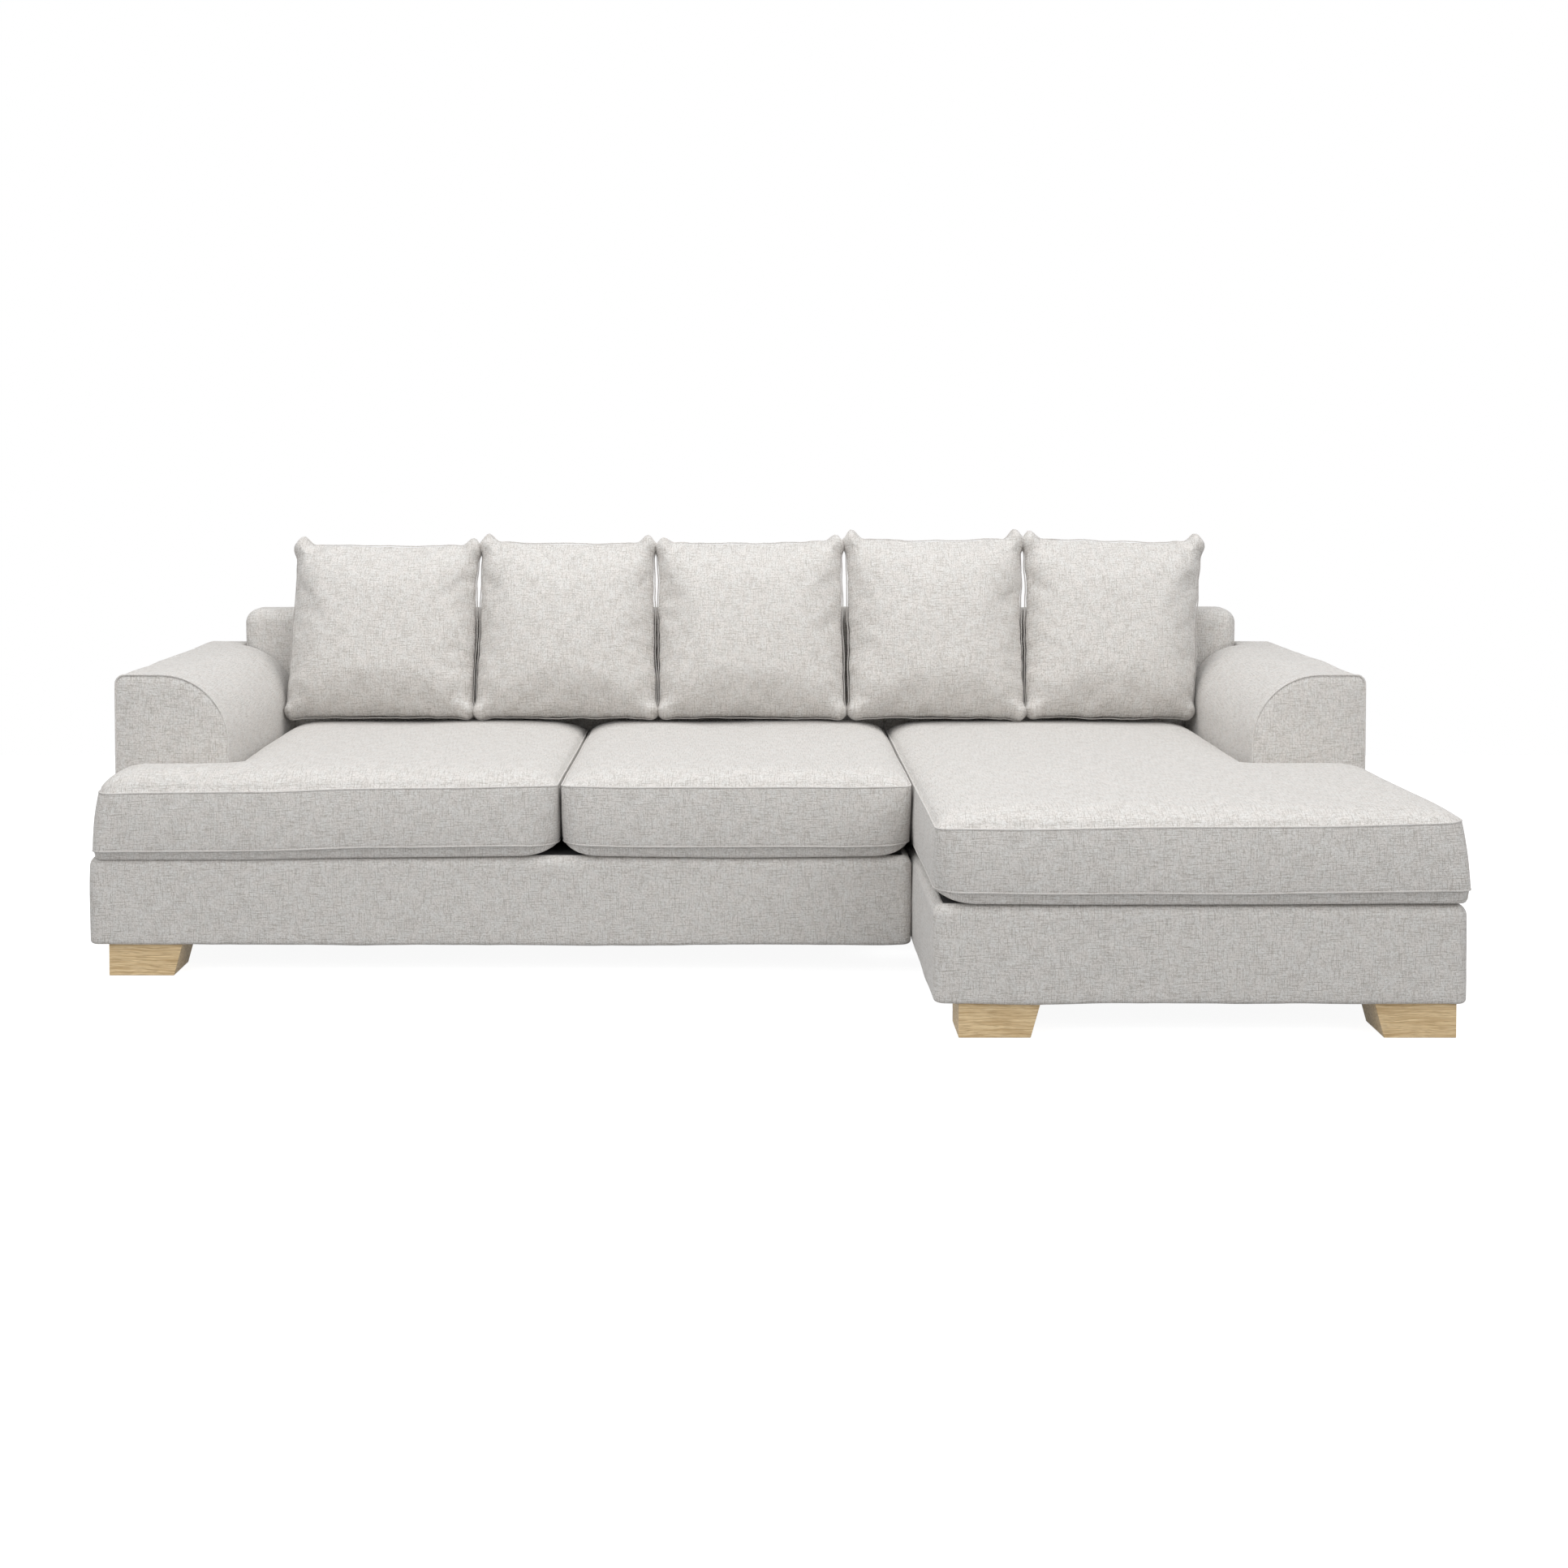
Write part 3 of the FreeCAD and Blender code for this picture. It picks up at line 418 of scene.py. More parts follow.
def arc(x, z, radius, start, end, count):
    """Points on an arc round (x, z), from one angle to another."""
    return [(x + radius * math.cos(a), z + radius * math.sin(a)) for a in np.linspace(start, end, count)]


def soften(piece, seed, coarse, fine, freedom):
    """Pushes a skin in and out by coarse and fine waves, as far as freedom(point) lets it."""
    mesh = piece.data
    mesh.update()
    for vertex in mesh.vertices:
        push = wobble(vertex.co, 0.16, coarse, seed) + wobble(vertex.co, 0.045, fine, seed + 1)
        vertex.co += vertex.normal * push * freedom(vertex.co)
    mesh.update()


def share(distance, reach):
    """How far a distance goes towards reach, from 0 to 1."""
    return min(max(distance / reach, 0.0), 1.0)


def quarter(distance, reach):
    """Rises from 0 at a seam to 1 at reach, steeply at first."""
    return math.sqrt(max(0.0, 1.0 - (1.0 - share(distance, reach)) ** 2))


# Piping and seams

def cord_maker():
    """Geometry nodes that turn the edges of a mesh into round cord with its own cloth coordinates."""
    tree = bpy.data.node_groups.new("piping", "GeometryNodeTree")
    for label, way, kind, size in (("Geometry", "INPUT", "NodeSocketGeometry", None),
                                   ("Cord radius", "INPUT", "NodeSocketFloat", seam_radius),
                                   ("Step along the cord", "INPUT", "NodeSocketFloat", cord_step),
                                   ("Geometry", "OUTPUT", "NodeSocketGeometry", None)):
        socket = tree.interface.new_socket(label, in_out=way, socket_type=kind)
        if size is not None:
            socket.default_value = size
    given = new_node(tree, "NodeGroupInput").outputs
    along = new_node(tree, "GeometryNodeSplineParameter").outputs["Length"]

    def measured(label, curve):
        """Keeps each point's distance along its curve under a label."""
        made = new_node(tree, "GeometryNodeCaptureAttribute", {}, {"Geometry": curve})
        made.capture_items.new("FLOAT", label)
        feed(tree, made.inputs[label], along)
        return made.outputs

    path = new_node(tree, "GeometryNodeMeshToCurve", {}, {"Mesh": given["Geometry"]}).outputs[0]
    sockets = {"Curve": path, "Length": given["Step along the cord"]}
    even = new_node(tree, "GeometryNodeResampleCurve", {"mode": "LENGTH"}, sockets).outputs[0]
    line = measured("Along", even)
    sockets = {"Resolution": piping_sides, "Radius": given["Cord radius"]}
    ring = measured("Round", new_node(tree, "GeometryNodeCurvePrimitiveCircle", {}, sockets).outputs["Curve"])
    sockets = {"Curve": line["Geometry"], "Profile Curve": ring["Geometry"]}
    skin = new_node(tree, "GeometryNodeCurveToMesh", {}, sockets).outputs[0]
    pair = new_node(tree, "ShaderNodeCombineXYZ", {}, {0: line["Along"], 1: ring["Round"]}).outputs[0]
    settings = {"data_type": "FLOAT2", "domain": "CORNER"}
    sockets = {"Geometry": skin, "Name": "cloth", "Value": pair}
    skin = new_node(tree, "GeometryNodeStoreNamedAttribute", settings, sockets).outputs[0]
    skin = new_node(tree, "GeometryNodeSetShadeSmooth", {}, {"Geometry": skin}).outputs[0]
    skin = new_node(tree, "GeometryNodeRealizeInstances", {}, {0: skin}).outputs[0]
    sockets = {"Geometry": skin, "Material": materials["piping"]}
    skin = new_node(tree, "GeometryNodeSetMaterial", {}, sockets).outputs[0]
    new_node(tree, "NodeGroupOutput", {}, {0: skin})
    return tree


def corded(name, loops, radius):
    """Lays cord along rows of points, closed or open, and makes it a plain mesh."""
    verts, edges = [], []
    for points, closed in loops:
        start = len(verts)
        verts.extend(tuple(p) for p in points)
        edges.extend((start + i, start + i + 1) for i in range(len(points) - 1))
        if closed:
            edges.append((start + len(points) - 1, start))
    mesh = bpy.data.meshes.new(name + "_path")
    mesh.from_pydata(verts, edges, [])
    path = placed(name, mesh)
    cord = path.modifiers.new("cord", "NODES")
    cord.node_group = piping_tree
    sockets = {s.name: s.identifier for s in piping_tree.interface.items_tree if s.in_out == "INPUT"}
    cord[sockets["Cord radius"]] = radius
    return plain(path)


def plain(piece):
    """Turns a piece's evaluated shape into its own mesh and takes its modifiers away."""
    bpy.context.view_layer.update()
    evaluated = piece.evaluated_get(bpy.context.evaluated_depsgraph_get())
    mesh = bpy.data.meshes.new_from_object(evaluated)
    piece.modifiers.clear()
    piece.data = mesh
    return piece


piping_tree = cord_maker()


# Seat cushions

def along_line(stops, x):
    """The height at x on a line through (x, height) stops, level past its ends."""
    xs, heights = zip(*stops)
    return float(np.interp(x, xs, heights))


class SeatCushion:
    """A boxed cushion: a crowned top and a belly, joined by a border with piping at both seams.

    upper and lower give how far each seam wanders from its level along the front, hang how low the belly
    bulges over the front edge of the base, and drawn how far each seam is drawn in at the outer side."""

    def __init__(self, key, seed, upper, lower, hang, drawn=(0.0, 0.0)):
        self.key, self.seed, self.drawn = key, seed, drawn
        self.upper, self.lower, self.hang = upper, lower, hang
        low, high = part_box("seat_%s_cover" % key)
        self.x0, self.x1, self.y0, self.y1 = low.x, high.x, low.y, high.y
        self.bottom, self.top = low.z, high.z
        self.side = 0
        if self.x0 < -arm_inner - 0.1:
            self.side, self.inner = -1, -arm_inner + cushion_gap
        if self.x1 > arm_inner + 0.1:
            self.side, self.inner = 1, arm_inner - cushion_gap
        self.ear = arm_front - cushion_gap
        self.xs = spaced(self.x0, self.x1, cloth_grid, edge_steps)
        self.ys = spaced(self.y0, self.y1, cloth_grid, edge_steps)
        if self.side:
            self.xs = self.lines(self.x0, self.inner, self.x1)
            self.ys = self.lines(self.y0, self.ear, self.y1)

    @staticmethod
    def lines(start, middle, end):
        """Grid lines that also lie close together at a middle line."""
        return spaced(start, middle, cloth_grid, edge_steps)[:-1] + spaced(middle, end, cloth_grid, edge_steps)

    def inside(self, x, y):
        """Whether a grid cell's middle is part of the cushion, and not behind its ear."""
        return not (self.side and (x - self.inner) * self.side > 0 and y > self.ear)

    def corners(self):
        """The rounded corners: place, the way each points, and its radius at the upper and lower seam."""
        found = []
        for x, way in ((self.x0, -1), (self.x1, 1)):
            found.append((x, self.y0, way, -1) + (nose_corner if way == self.side else front_corner))
            if way == self.side:
                found.append((x, self.ear, way, 1) + ear_corner)
                x = self.inner
            found.append((x, self.y1, way, 1) + rear_corner)
        return found

    def rounded(self, x, y, upper):
        """Moves a grid point in from a square corner onto a round one."""
        for cx, cy, sx, sy, high_radius, low_radius in self.corners():
            radius = high_radius if upper else low_radius
            a = 1.0 - (cx - x) * sx / radius
            b = 1.0 - (cy - y) * sy / radius
            if 0.0 < a <= 1.0001 and 0.0 < b <= 1.0001:
                x = cx - sx * radius * (1.0 - a * math.sqrt(max(0.0, 1.0 - b * b / 2)))
                y = cy - sy * radius * (1.0 - b * math.sqrt(max(0.0, 1.0 - a * a / 2)))
                break
        outer = self.x1 if self.side > 0 else self.x0
        near = 1.0 - share(abs(x - outer), drawn_reach)
        return x - self.side * self.drawn[0 if upper else 1] * near, y

    def fullness(self, x, y, across, front):
        """0 at the seam and 1 well inside, reached over across at the sides and over front at the front."""
        full = quarter(x - self.x0, across) * quarter(self.x1 - x, across)
        full = full * quarter(y - self.y0, front) * quarter(self.y1 - y, across)
        if self.side:
            beside, before = (self.inner - x) * self.side, self.ear - y
            full = full * quarter(math.hypot(max(beside, 0.0), max(before, 0.0)), across)
        return full

    def wander(self, x, y, stops, seed):
        """How far a seam strays from its level at a place on the edge."""
        near_front = 1.0 - share(y - self.y0 - wander_full, wander_fade)
        return along_line(stops, x) * near_front + wobble((x, y, 0.0), 0.20, 0.0016, seed)

    def top_point(self, x, y):
        """A point of the crowned top."""
        full = self.fullness(x, y, crown_reach, crown_reach)
        dome = self.fullness(x, y, dome_reach, dome_reach)
        px, py = self.rounded(x, y, True)
        seam = high_seam + self.wander(x, y, self.upper, self.seed)
        z = seam + (self.top - dome_height - seam) * full + dome_height * dome * full
        place = (x, y, 0.0)
        z += full * (wobble(place, 0.22, 0.0040, self.seed + 3) + wobble(place, 0.07, 0.0008, self.seed))
        return px, py, z

    def belly_point(self, x, y):
        """A point of the underside, which bulges over the front edge of the base and then lies on the deck."""
        outer = (self.x1 - x) if self.side > 0 else (x - self.x0)
        before_arm = self.side and outer < ear_width and y < self.ear - ear_margin
        full = self.fullness(x, y, outer_belly_reach if before_arm else belly_reach, belly_turn)
        px, py = self.rounded(x, y, False)
        roll = share(y - self.y0, belly_turn)
        py -= belly_turn * roll * (1.0 - roll) * full
        seam = low_seam + self.wander(x, y, self.lower, self.seed + 5)
        flat = self.bottom + deck_gap
        inward = share(y - self.y0 - hang_end, hang_fade)
        belly = flat + (along_line(self.hang, x) - flat) * (1.0 - inward * inward * (3.0 - 2.0 * inward))
        return px, py, seam + (belly - seam) * full

    def loop(self):
        """Grid points round the edge, anticlockwise from the front left corner."""
        turn = [(self.x0, self.y0), (self.x1, self.y0), (self.x1, self.y1), (self.x0, self.y1)]
        if self.side > 0:
            turn[2:3] = [(self.x1, self.ear), (self.inner, self.ear), (self.inner, self.y1)]
        elif self.side < 0:
            turn[3:4] = [(self.inner, self.y1), (self.inner, self.ear), (self.x0, self.ear)]
        found = []
        for (ax, ay), (bx, by) in zip(turn, turn[1:] + turn[:1]):
            if abs(ay - by) < 1e-9:
                line = [(x, ay) for x in self.xs if min(ax, bx) - 1e-9 <= x <= max(ax, bx) + 1e-9]
            else:
                line = [(ax, y) for y in self.ys if min(ay, by) - 1e-9 <= y <= max(ay, by) + 1e-9]
            if bx < ax or by < ay:
                line.reverse()
            found.extend(line[:-1])
        return found

    def panel(self, skin, point):
        """The top or bottom panel, cell by cell, with its cloth measured along its curves."""
        grid = np.array([[point(x, y) for y in self.ys] for x in self.xs])
        cloth = np.zeros(grid.shape[:2] + (2,))
        for axis, start in ((0, self.x0), (1, self.y0)):
            steps = np.linalg.norm(np.diff(grid[:, :, [axis, 2]], axis=axis), axis=2)
            total = np.concatenate([np.zeros_like(steps[:1] if axis == 0 else steps[:, :1]),
                                    np.cumsum(steps, axis=axis)], axis=axis)
            middle = np.take(total, [total.shape[axis] // 2], axis=axis)
            cloth[:, :, axis] = total - middle + start
        made = {}
        for i in range(len(self.xs) - 1):
            for j in range(len(self.ys) - 1):
                if not self.inside((self.xs[i] + self.xs[i + 1]) / 2, (self.ys[j] + self.ys[j + 1]) / 2):
                    continue
                corners = []
                for a, b in ((i, j), (i + 1, j), (i + 1, j + 1), (i, j + 1)):
                    if (a, b) not in made:
                        made[a, b] = len(skin.verts)
                        skin.verts.append(grid[a, b])
                    corners.append(made[a, b])
                    skin.uvs.append(cloth[a, b])
                skin.faces.append(corners)

    @staticmethod
    def outwards(points):
        """The outward direction in plan at each point of a closed loop."""
        run = np.roll(points, -1, axis=0) - np.roll(points, 1, axis=0)
        normal = np.stack([run[:, 1], -run[:, 0]], axis=1)
        return normal / np.linalg.norm(normal, axis=1, keepdims=True)

    def build(self):
        """Makes the cover and its two lengths of piping."""
        skin = Patchwork()
        self.panel(skin, self.top_point)
        self.panel(skin, self.belly_point)
        loop = self.loop()
        upper = np.array([self.top_point(x, y) for x, y in loop])
        lower = np.array([self.belly_point(x, y) for x, y in loop])
        along = run_lengths(np.concatenate([upper[:, :2], upper[:1, :2]]))
        out_upper, out_lower = self.outwards(upper[:, :2]), self.outwards(lower[:, :2])
        height = high_seam - low_seam
        rows = spaced(0.0, height, border_step, border_steps)
        rear = np.array([1.0 - share(y - self.y1 + flat_rear, flat_fade) for _, y in loop])
        grid, cloth = [], []
        for row in rows:
            t = row / height
            line = lower * (1 - t) + upper * t
            out = out_lower * (1 - t) + out_upper * t
            round_out = seam_shoulder * quarter(min(row, height - row), shoulder_reach)
            round_out += border_bulge * math.sin(math.pi * t)
            places = [(x, y, row) for x, y in loop]
            push = [round_out + math.sin(math.pi * t) * (
                wobble(place, 0.12, 0.0016, self.seed + 8) + wobble(place, 0.035, 0.0005, self.seed + 9))
                for place in places]
            line[:, :2] += out * (np.array(push) * rear)[:, None]
            grid.append(np.concatenate([line, line[:1]]))
            cloth.append(np.stack([along, np.full(len(along), row)], axis=1))
        skin.add(np.array(grid), np.array(cloth))
        cover = skin.sewn("seat_cushion_%s" % self.key, "upholstery")
        body = "seat_cushion_" + self.key
        nodes = ("seat_%s_cover" % self.key, "seat_%s_foam" % self.key)
        handed_over(cover, body, "upholstery", *nodes, fill=0.8)
        cords = []
        for points, out in ((upper, out_upper), (lower, out_lower)):
            line = points.copy()
            line[:, :2] += out * seam_radius * cord_stand
            cords.append((line, True))
        piping = corded("seat_piping_%s" % self.key, cords, seam_radius)
        handed_over(piping, body, "piping", "seat_%s_piping" % self.key)


SeatCushion("left", 2,
            ((-1.40, -0.013), (-1.22, -0.0095), (-1.01, -0.0085), (-0.87, -0.0025), (-0.59, 0.000),
             (-0.42, 0.004)),
            ((-1.40, -0.008), (-1.13, -0.0075), (-1.01, -0.0045), (-0.80, 0.002), (-0.40, 0.005)),
            ((-1.40, 0.2535), (-1.06, 0.2535), (-0.90, 0.2570), (-0.60, 0.2600), (-0.40, 0.2625)),
            (0.021, 0.013)).build()
SeatCushion("middle", 13,
            ((-0.39, 0.004), (-0.25, 0.001), (0.23, 0.001), (0.37, 0.004)),
            ((-0.39, 0.007), (-0.25, 0.003), (0.23, 0.003), (0.37, 0.007)),
            ((-0.39, 0.2625), (-0.20, 0.2600), (0.00, 0.2575), (0.20, 0.2600), (0.37, 0.2625))).build()
SeatCushion("chaise", 24,
            ((0.37, 0.000), (0.53, -0.001), (0.84, 0.002), (1.15, 0.005), (1.40, 0.011)),
            ((0.37, 0.006), (0.55, 0.004), (1.00, 0.0045), (1.20, 0.008), (1.40, 0.010)),
            ((0.37, 0.2630), (0.65, 0.2615), (1.05, 0.2620), (1.25, 0.2634), (1.40, 0.2634)),
            (0.012, 0.000)).build()


# Back cushions

def hump(x, middle, width):
    """A smooth hump of height 1."""
    return math.exp(-((x - middle) / width) ** 2)


def rim(s, half, ear, seed, side):
    """How far a pillow's edge stands out from its straight line, at s from -1 to 1 along it."""
    near = (1.0 - abs(s)) * half
    knob = ear * (1.10 * hump(near, *ear_knob) + 0.45 * hump(near, *ear_swell) - 0.25 * hump(near, *ear_pinch))
    wave = wobble((s * half, side * 3.0, 0.0), 0.080, 0.0042, seed)
    wave += wobble((s * half, side, 0.0), 0.026, 0.0018, seed)
    return knob + wave * (1.0 - hump(near, 0.0, 0.05))


def pillow_grid(count):
    """Numbers from -1 to 1, closer together towards both ends."""
    end = math.sin(math.pi / 2 * pillow_gather)
    return [math.sin(math.pi / 2 * (2.0 * i / count - 1.0) * pillow_gather) / end for i in range(count + 1)]


def pillow_mesh(name, corners, ears, seed, count=68):
    """A stuffed cushion with a knife edge, standing upright, its seam in the plane y = 0.

    corners are its lower left, lower right, upper left and upper right corners in X and Z, and ears how far
    each stands out."""
    steps = pillow_grid(count)
    skin = Patchwork()
    seam = {}
    low_left, low_right, high_left, high_right = (np.array(c) for c in corners)
    half_x = (low_right[0] - low_left[0] + high_right[0] - high_left[0]) / 4
    half_z = (high_left[1] - low_left[1] + high_right[1] - low_right[1]) / 4
    for swell, facing in ((-pillow_front_swell, 0), (pillow_back_swell, 1)):
        points = np.zeros((count + 1, count + 1, 3))
        cloth = np.zeros((count + 1, count + 1, 2))
        for i, u in enumerate(steps):
            for j, v in enumerate(steps):
                ear = ears[(u > 0) + 2 * (v > 0)]
                right, left = rim(v, half_z, 0.45 * ear, seed, 1), rim(v, half_z, 0.45 * ear, seed + 3, 2)
                upper, lower = rim(u, half_x, ear, seed + 5, 3), rim(u, half_x, 0.3 * ear, seed + 7, 4)
                dx = right * max(u, 0.0) ** 3 - left * max(-u, 0.0) ** 3
                dz = upper * max(v, 0.0) ** 3 - lower * max(-v, 0.0) ** 3
                a = 1.0 - (1.0 - abs(u)) * half_x / pillow_corner
                b = 1.0 - (1.0 - abs(v)) * half_z / pillow_corner
                if a > 0.0 and b > 0.0:
                    dx -= math.copysign(pillow_corner * a * (1.0 - math.sqrt(1.0 - b * b / 2)), u)
                    dz -= math.copysign(pillow_corner * b * (1.0 - math.sqrt(1.0 - a * a / 2)), v)
                s, t = (u + 1.0) / 2, (v + 1.0) / 2
                low, high = low_left * (1 - s) + low_right * s, high_left * (1 - s) + high_right * s
                flat = low * (1 - t) + high * t
                x, z = flat[0] + dx, flat[1] + dz
                du, dv = (1.0 - abs(u)) * half_x, (1.0 - abs(v)) * half_z
                full = quarter(du, 0.075) * quarter(dv, 0.080)
                dome = math.cos(u * math.pi / 2) * math.cos(v * math.pi / 2)
                away = math.hypot(du, dv)
                crease = 0.16 * hump(away, 0.065, 0.024) * hump(du - dv, 0.0, 0.060)
                knob = 0.13 * hump(away, 0.022, 0.015) * quarter(du, 0.01) * quarter(dv, 0.01)
                lean = 1.0 - 0.18 * max(0.0, v) ** 1.5
                depth = swell * ((0.78 * full + 0.22 * dome ** 0.7) * lean * (1.0 - crease) + knob)
                lump = wobble((x, z, 9.0 * facing), 0.16, 0.0050, seed) * full
                points[i, j] = (x, depth + lump, z)
                cloth[i, j] = (x, z + 0.5 * facing)
                if i in (0, count) or j in (0, count):
                    seam[i, j] = (x, 0.0, z)
                    points[i, j] = seam[i, j]
        skin.add(points, cloth)
    piece = skin.sewn(name, "upholstery")
    order = [(i, 0) for i in range(count)] + [(count, j) for j in range(count)]
    order += [(i, count) for i in range(count, 0, -1)] + [(0, j) for j in range(count, 0, -1)]
    return piece, [seam[k] for k in order]


def stuffed(piece, frames=16, cap=0.024, flattest=0.0630):
    """Lets the cloth swell under pressure between its sewn edges, so that it puckers along them."""
    mesh = piece.data
    count = len(mesh.vertices)
    rest = np.zeros(count * 3)
    mesh.vertices.foreach_get("co", rest)
    rest = rest.reshape(-1, 3)
    edge = [v.index for v in mesh.vertices if abs(v.co.y) < 1e-6]
    held = piece.vertex_groups.new(name="seam")
    held.add(edge, 1.0, "REPLACE")
    cloth = piece.modifiers.new("stuffing", "CLOTH")
    cloth.settings.quality = 5
    cloth.settings.mass = 0.25
    cloth.settings.tension_stiffness = 12
    cloth.settings.compression_stiffness = 12
    cloth.settings.shear_stiffness = 4
    cloth.settings.bending_stiffness = 0.8
    cloth.settings.vertex_group_mass = "seam"
    cloth.settings.use_pressure = True
    cloth.settings.uniform_pressure_force = 3.2
    cloth.settings.shrink_min = -0.022
    cloth.settings.effector_weights.gravity = 0
    cloth.collision_settings.use_collision = False
    cloth.point_cache.frame_start = 1
    cloth.point_cache.frame_end = frames
    for step in range(1, frames + 1):
        scene.frame_set(step)
    evaluated = piece.evaluated_get(bpy.context.evaluated_depsgraph_get())
    moved = np.zeros(count * 3)
    evaluated.data.vertices.foreach_get("co", moved)
    push = moved.reshape(-1, 3) - rest
    length = np.linalg.norm(push, axis=1, keepdims=True)
    push *= np.minimum(1.0, cap / np.maximum(length, 1e-9))
    piece.modifiers.clear()
    piece.vertex_groups.clear()
    moved = rest + smoothed(mesh, push, 3)
    moved[:, 1] = np.minimum(moved[:, 1], flattest)
    mesh.vertices.foreach_set("co", moved.ravel())
    mesh.update()
    scene.frame_set(1)


def smoothed(mesh, push, rounds):
    """Evens out how far points were pushed, between neighbours."""
    ends = np.zeros(len(mesh.edges) * 2, dtype=np.int64)
    mesh.edges.foreach_get("vertices", ends)
    a, b = ends[0::2], ends[1::2]
    degree = np.bincount(ends, minlength=len(push))[:, None]
    for _ in range(rounds):
        total = np.zeros_like(push)
        np.add.at(total, a, push[b])
        np.add.at(total, b, push[a])
        push = push * 0.5 + total / degree * 0.5
    return push


def leaning(points, centre):
    """Leans upright points back and moves them to their place."""
    points = np.asarray(points, dtype=float)
    y = points[:, 1] * math.cos(pillow_lean) + points[:, 2] * math.sin(pillow_lean)
    z = points[:, 2] * math.cos(pillow_lean) - points[:, 1] * math.sin(pillow_lean)
    return np.stack([points[:, 0], y, z], axis=1) + np.array(centre)


def back_cushion(number, sides, heights, ears):
    """One loose back cushion with the thin seam round its edge.

    sides are the X of its lower left, lower right, upper left and upper right corners, and heights how far
    each corner lies above or below the plain cushion's."""
    name = "back_cushion_%d" % number
    middle_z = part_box("back_cushion_1_cover")[0].z + pillow_height / 2 * math.cos(pillow_lean)
    rise = middle_z - back_top + back_edge_radius / 2
    middle_y = back_front - back_gap - pillow_rear_swell / math.cos(pillow_lean) + rise * math.tan(pillow_lean)
    half = pillow_height / 2
    corners = [(x, up + extra) for x, up, extra in zip(sides, (-half, -half, half, half), heights)]
    piece, seam = pillow_mesh(name, corners, ears, number * 13)
    stuffed(piece)
    centre = (0.0, middle_y, middle_z)
    co = np.array([v.co[:] for v in piece.data.vertices])
    piece.data.vertices.foreach_set("co", leaning(co, centre).ravel())
    smooth = piece.modifiers.new("finer", "SUBSURF")
    smooth.levels = smooth.render_levels = 1
    plain(piece)
    handed_over(piece, name, "upholstery", name + "_cover", name + "_filling", fill=0.7)
    cord = corded(name + "_seam", [(leaning(seam, centre), True)], knife_seam_radius)
    handed_over(cord, name, "piping")


back_cushion(1, (-1.140, -0.672, -1.128, -0.667), (0.002, 0.003, -0.013, -0.013), (0.010, 0.010, 0.016, 0.013))
back_cushion(2, (-0.666, -0.209, -0.656, -0.222), (0.002, 0.002, -0.006, -0.006), (0.012, 0.008, 0.016, 0.014))
back_cushion(3, (-0.204, 0.262, -0.212, 0.258), (0.002, 0.001, -0.007, -0.002), (0.008, 0.008, 0.010, 0.012))
back_cushion(4, (0.273, 0.710, 0.270, 0.714), (0.002, 0.000, 0.002, 0.002), (0.009, 0.015, 0.018, 0.019))
back_cushion(5, (0.718, 1.136, 0.724, 1.176), (0.004, 0.000, 0.004, -0.006), (0.008, 0.006, 0.015, 0.016))


# Arms

def arm_outline(split):
    """The left arm's section, up its outer face and down its inner one, and which point of it is at split."""
    outer_round, inner_round, levels = 0.020, 0.150, 27
    points = [(-arm_outer, z) for z in np.linspace(base_top, arm_top - outer_round, levels)]
    points += arc(-arm_outer + outer_round, arm_top - outer_round, outer_round, math.pi, math.pi / 2, 8)[1:]
    centre = -arm_inner - inner_round
    points += [(x, arm_top) for x in np.linspace(-arm_outer + outer_round, centre, 8)[1:-1]]
    turn = math.acos((split - centre) / inner_round)
    points += arc(centre, arm_top - inner_round, inner_round, math.pi / 2, turn, 3)
    points += arc(centre, arm_top - inner_round, inner_round, turn, 0.0, 20)[1:]
    points += [(-arm_inner, z) for z in np.linspace(arm_top - inner_round, base_top, levels)[1:]]
    cut = min(range(len(points)), key=lambda i: abs(points[i][0] - split) + (points[i][1] < arm_top - 0.02))
    return points, levels - 1, len(points) - levels, cut


